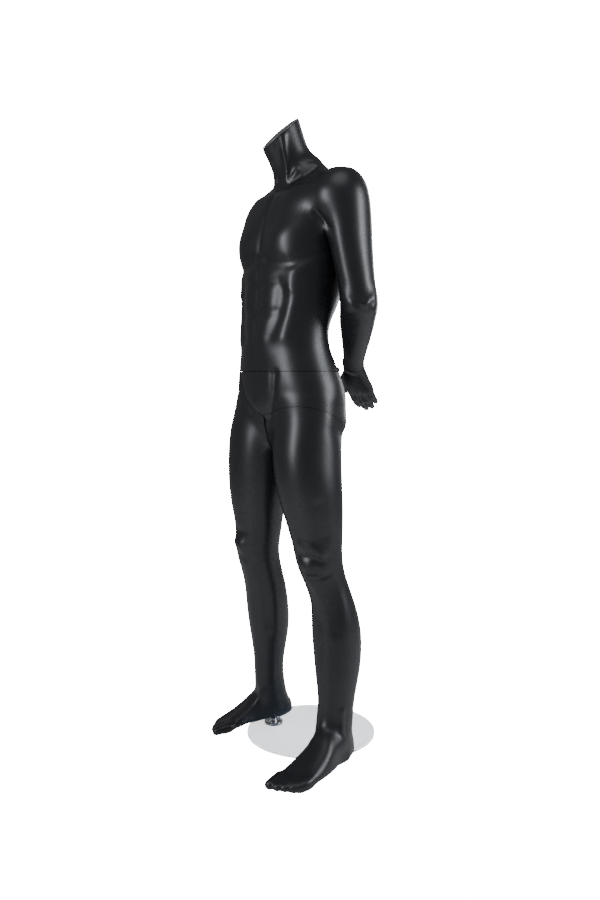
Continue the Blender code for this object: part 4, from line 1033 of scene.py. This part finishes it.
def fittings():
    """The flange with its studs, and the rod with its collar."""
    x, y = ROD_CENTRE
    low = DISC_THICKNESS + 2 * CLEARANCE + GASKET_THICKNESS
    top = low + FLANGE_THICKNESS
    flange = [(0, low), (FLANGE_RADIUS, low), (FLANGE_RADIUS, top), (0, top)]
    shape = turned(rounded(flange, FLANGE_ROUND), (x, y, 0), sides=FLANGE_SIDES)
    piece("flange", shape, "chrome", "base", "base_flange")
    foot = top + CLEARANCE
    collar = foot + COLLAR_HEIGHT
    rod = [(0, foot), (COLLAR_RADIUS, foot), (COLLAR_RADIUS, collar), (ROD_RADIUS, collar + COLLAR_SLOPE)]
    rod += [(ROD_RADIUS, ROD_TOP), (0, ROD_TOP)]
    piece("rod_and_collar", turned(rounded(rod, ROD_ROUND), (x, y, 0)), "chrome", "base", "foot_rod")
    wide, tip = STUD_RADIUS * STUD_FOOT, foot + STUD_HEIGHT
    stud = [(0, foot), (wide, foot), (wide, foot + STUD_FOOT_HEIGHT), (STUD_RADIUS, foot + STUD_TAPER_TOP)]
    stud += [(STUD_RADIUS, tip), (0, tip)]
    for i in range(STUD_COUNT):
        angle = math.radians(FIRST_STUD_ANGLE + 360 / STUD_COUNT * i)
        place = (x + STUD_RING_RADIUS * math.cos(angle), y + STUD_RING_RADIUS * math.sin(angle), 0)
        name = "stud_" + str(i + 1)
        shape = turned(rounded(stud, STUD_ROUND), place, sides=STUD_SIDES)
        piece(name, shape, "chrome", "base", "flange_" + name)


def dress_cad_nodes():
    """Gives the fittings that stay as they are their materials."""
    slots = {part["node"]: part["material_slot"] for part in frame["record"]["subparts"]}
    for name, made in frame["nodes"].items():
        if not made.hide_render:
            made.data.materials.clear()
            made.data.materials.append(MATERIALS[slots[name]])


glass_disc()
fittings()
dress_cad_nodes()


# ---------- stage ----------
def seen_only(tree, unseen, seen):
    """A strength that is higher for what the camera sees directly."""
    path = tree.nodes.new("ShaderNodeLightPath")
    return spread(tree, path.outputs["Is Camera Ray"], unseen, seen)


def floor():
    mesh = bpy.data.meshes.new("floor")
    corners = [(-FLOOR_REACH, -FLOOR_REACH), (FLOOR_REACH, -FLOOR_REACH), (FLOOR_REACH, FLOOR_REACH)]
    corners.append((-FLOOR_REACH, FLOOR_REACH))
    mesh.from_pydata([(x, y, 0) for x, y in corners], [], [(0, 1, 2, 3)])
    made = bpy.data.objects.new("floor", mesh)
    made.location.z = -FLOOR_DROP
    bpy.context.scene.collection.objects.link(made)
    paint, tree, shader = new_material("floor_white")
    tree.links.new(mixed(tree, noise(tree, 2.0), FLOOR_DARK, FLOOR_LIGHT), shader.inputs["Base Color"])
    shader.inputs["Roughness"].default_value = 0.6
    shader.inputs["Emission Color"].default_value = (1, 1, 1, 1)
    tree.links.new(seen_only(tree, 0.0, FLOOR_SEEN), shader.inputs["Emission Strength"])
    mesh.materials.append(paint)


def studio():
    world = bpy.data.worlds.new("studio")
    world.use_nodes = True
    background = world.node_tree.nodes["Background"]
    background.inputs["Color"].default_value = (1, 1, 1, 1)
    strength = seen_only(world.node_tree, WORLD_LIGHT, WORLD_SEEN)
    world.node_tree.links.new(strength, background.inputs["Strength"])
    bpy.context.scene.world = world


def light(name, sideways, backward, height, aim, size, power):
    """A soft box placed from the figure as the camera sees it: to the right, away and up."""
    lamp = bpy.data.lights.new(name, "AREA")
    lamp.shape = "RECTANGLE"
    lamp.size, lamp.size_y = size
    lamp.energy = power
    lamp.color = LIGHT_COLOUR
    made = bpy.data.objects.new(name, lamp)
    middle = Vector(FIGURE)
    place = middle + CAMERA_RIGHT * sideways + CAMERA_AWAY * backward + Vector((0, 0, height))
    made.location = place
    target = middle + Vector((0, 0, aim))
    made.rotation_euler = (target - place).to_track_quat("-Z", "Y").to_euler()
    bpy.context.scene.collection.objects.link(made)


def camera():
    lens = bpy.data.cameras.new("camera")
    lens.lens = LENS
    lens.sensor_width = SENSOR
    made = bpy.data.objects.new("camera", lens)
    look = CAMERA_AWAY * math.cos(CAMERA_PITCH) - Vector((0, 0, 1)) * math.sin(CAMERA_PITCH)
    made.location = CAMERA_PLACE
    made.rotation_euler = look.to_track_quat("-Z", "Y").to_euler()
    bpy.context.scene.collection.objects.link(made)
    bpy.context.scene.camera = made


floor()
studio()
camera()
light("left_box", -1.7, -1.5, 1.55, 1.05, (0.6, 1.4), 34)
light("right_box", 2.2, -0.55, 1.55, 1.05, (0.5, 1.4), 36)
light("back_box", 1.4, 1.8, 1.6, 1.0, (0.6, 1.8), 16)
light("top_box", 0.0, -1.2, 3.4, 1.0, (1.6, 1.6), 16)
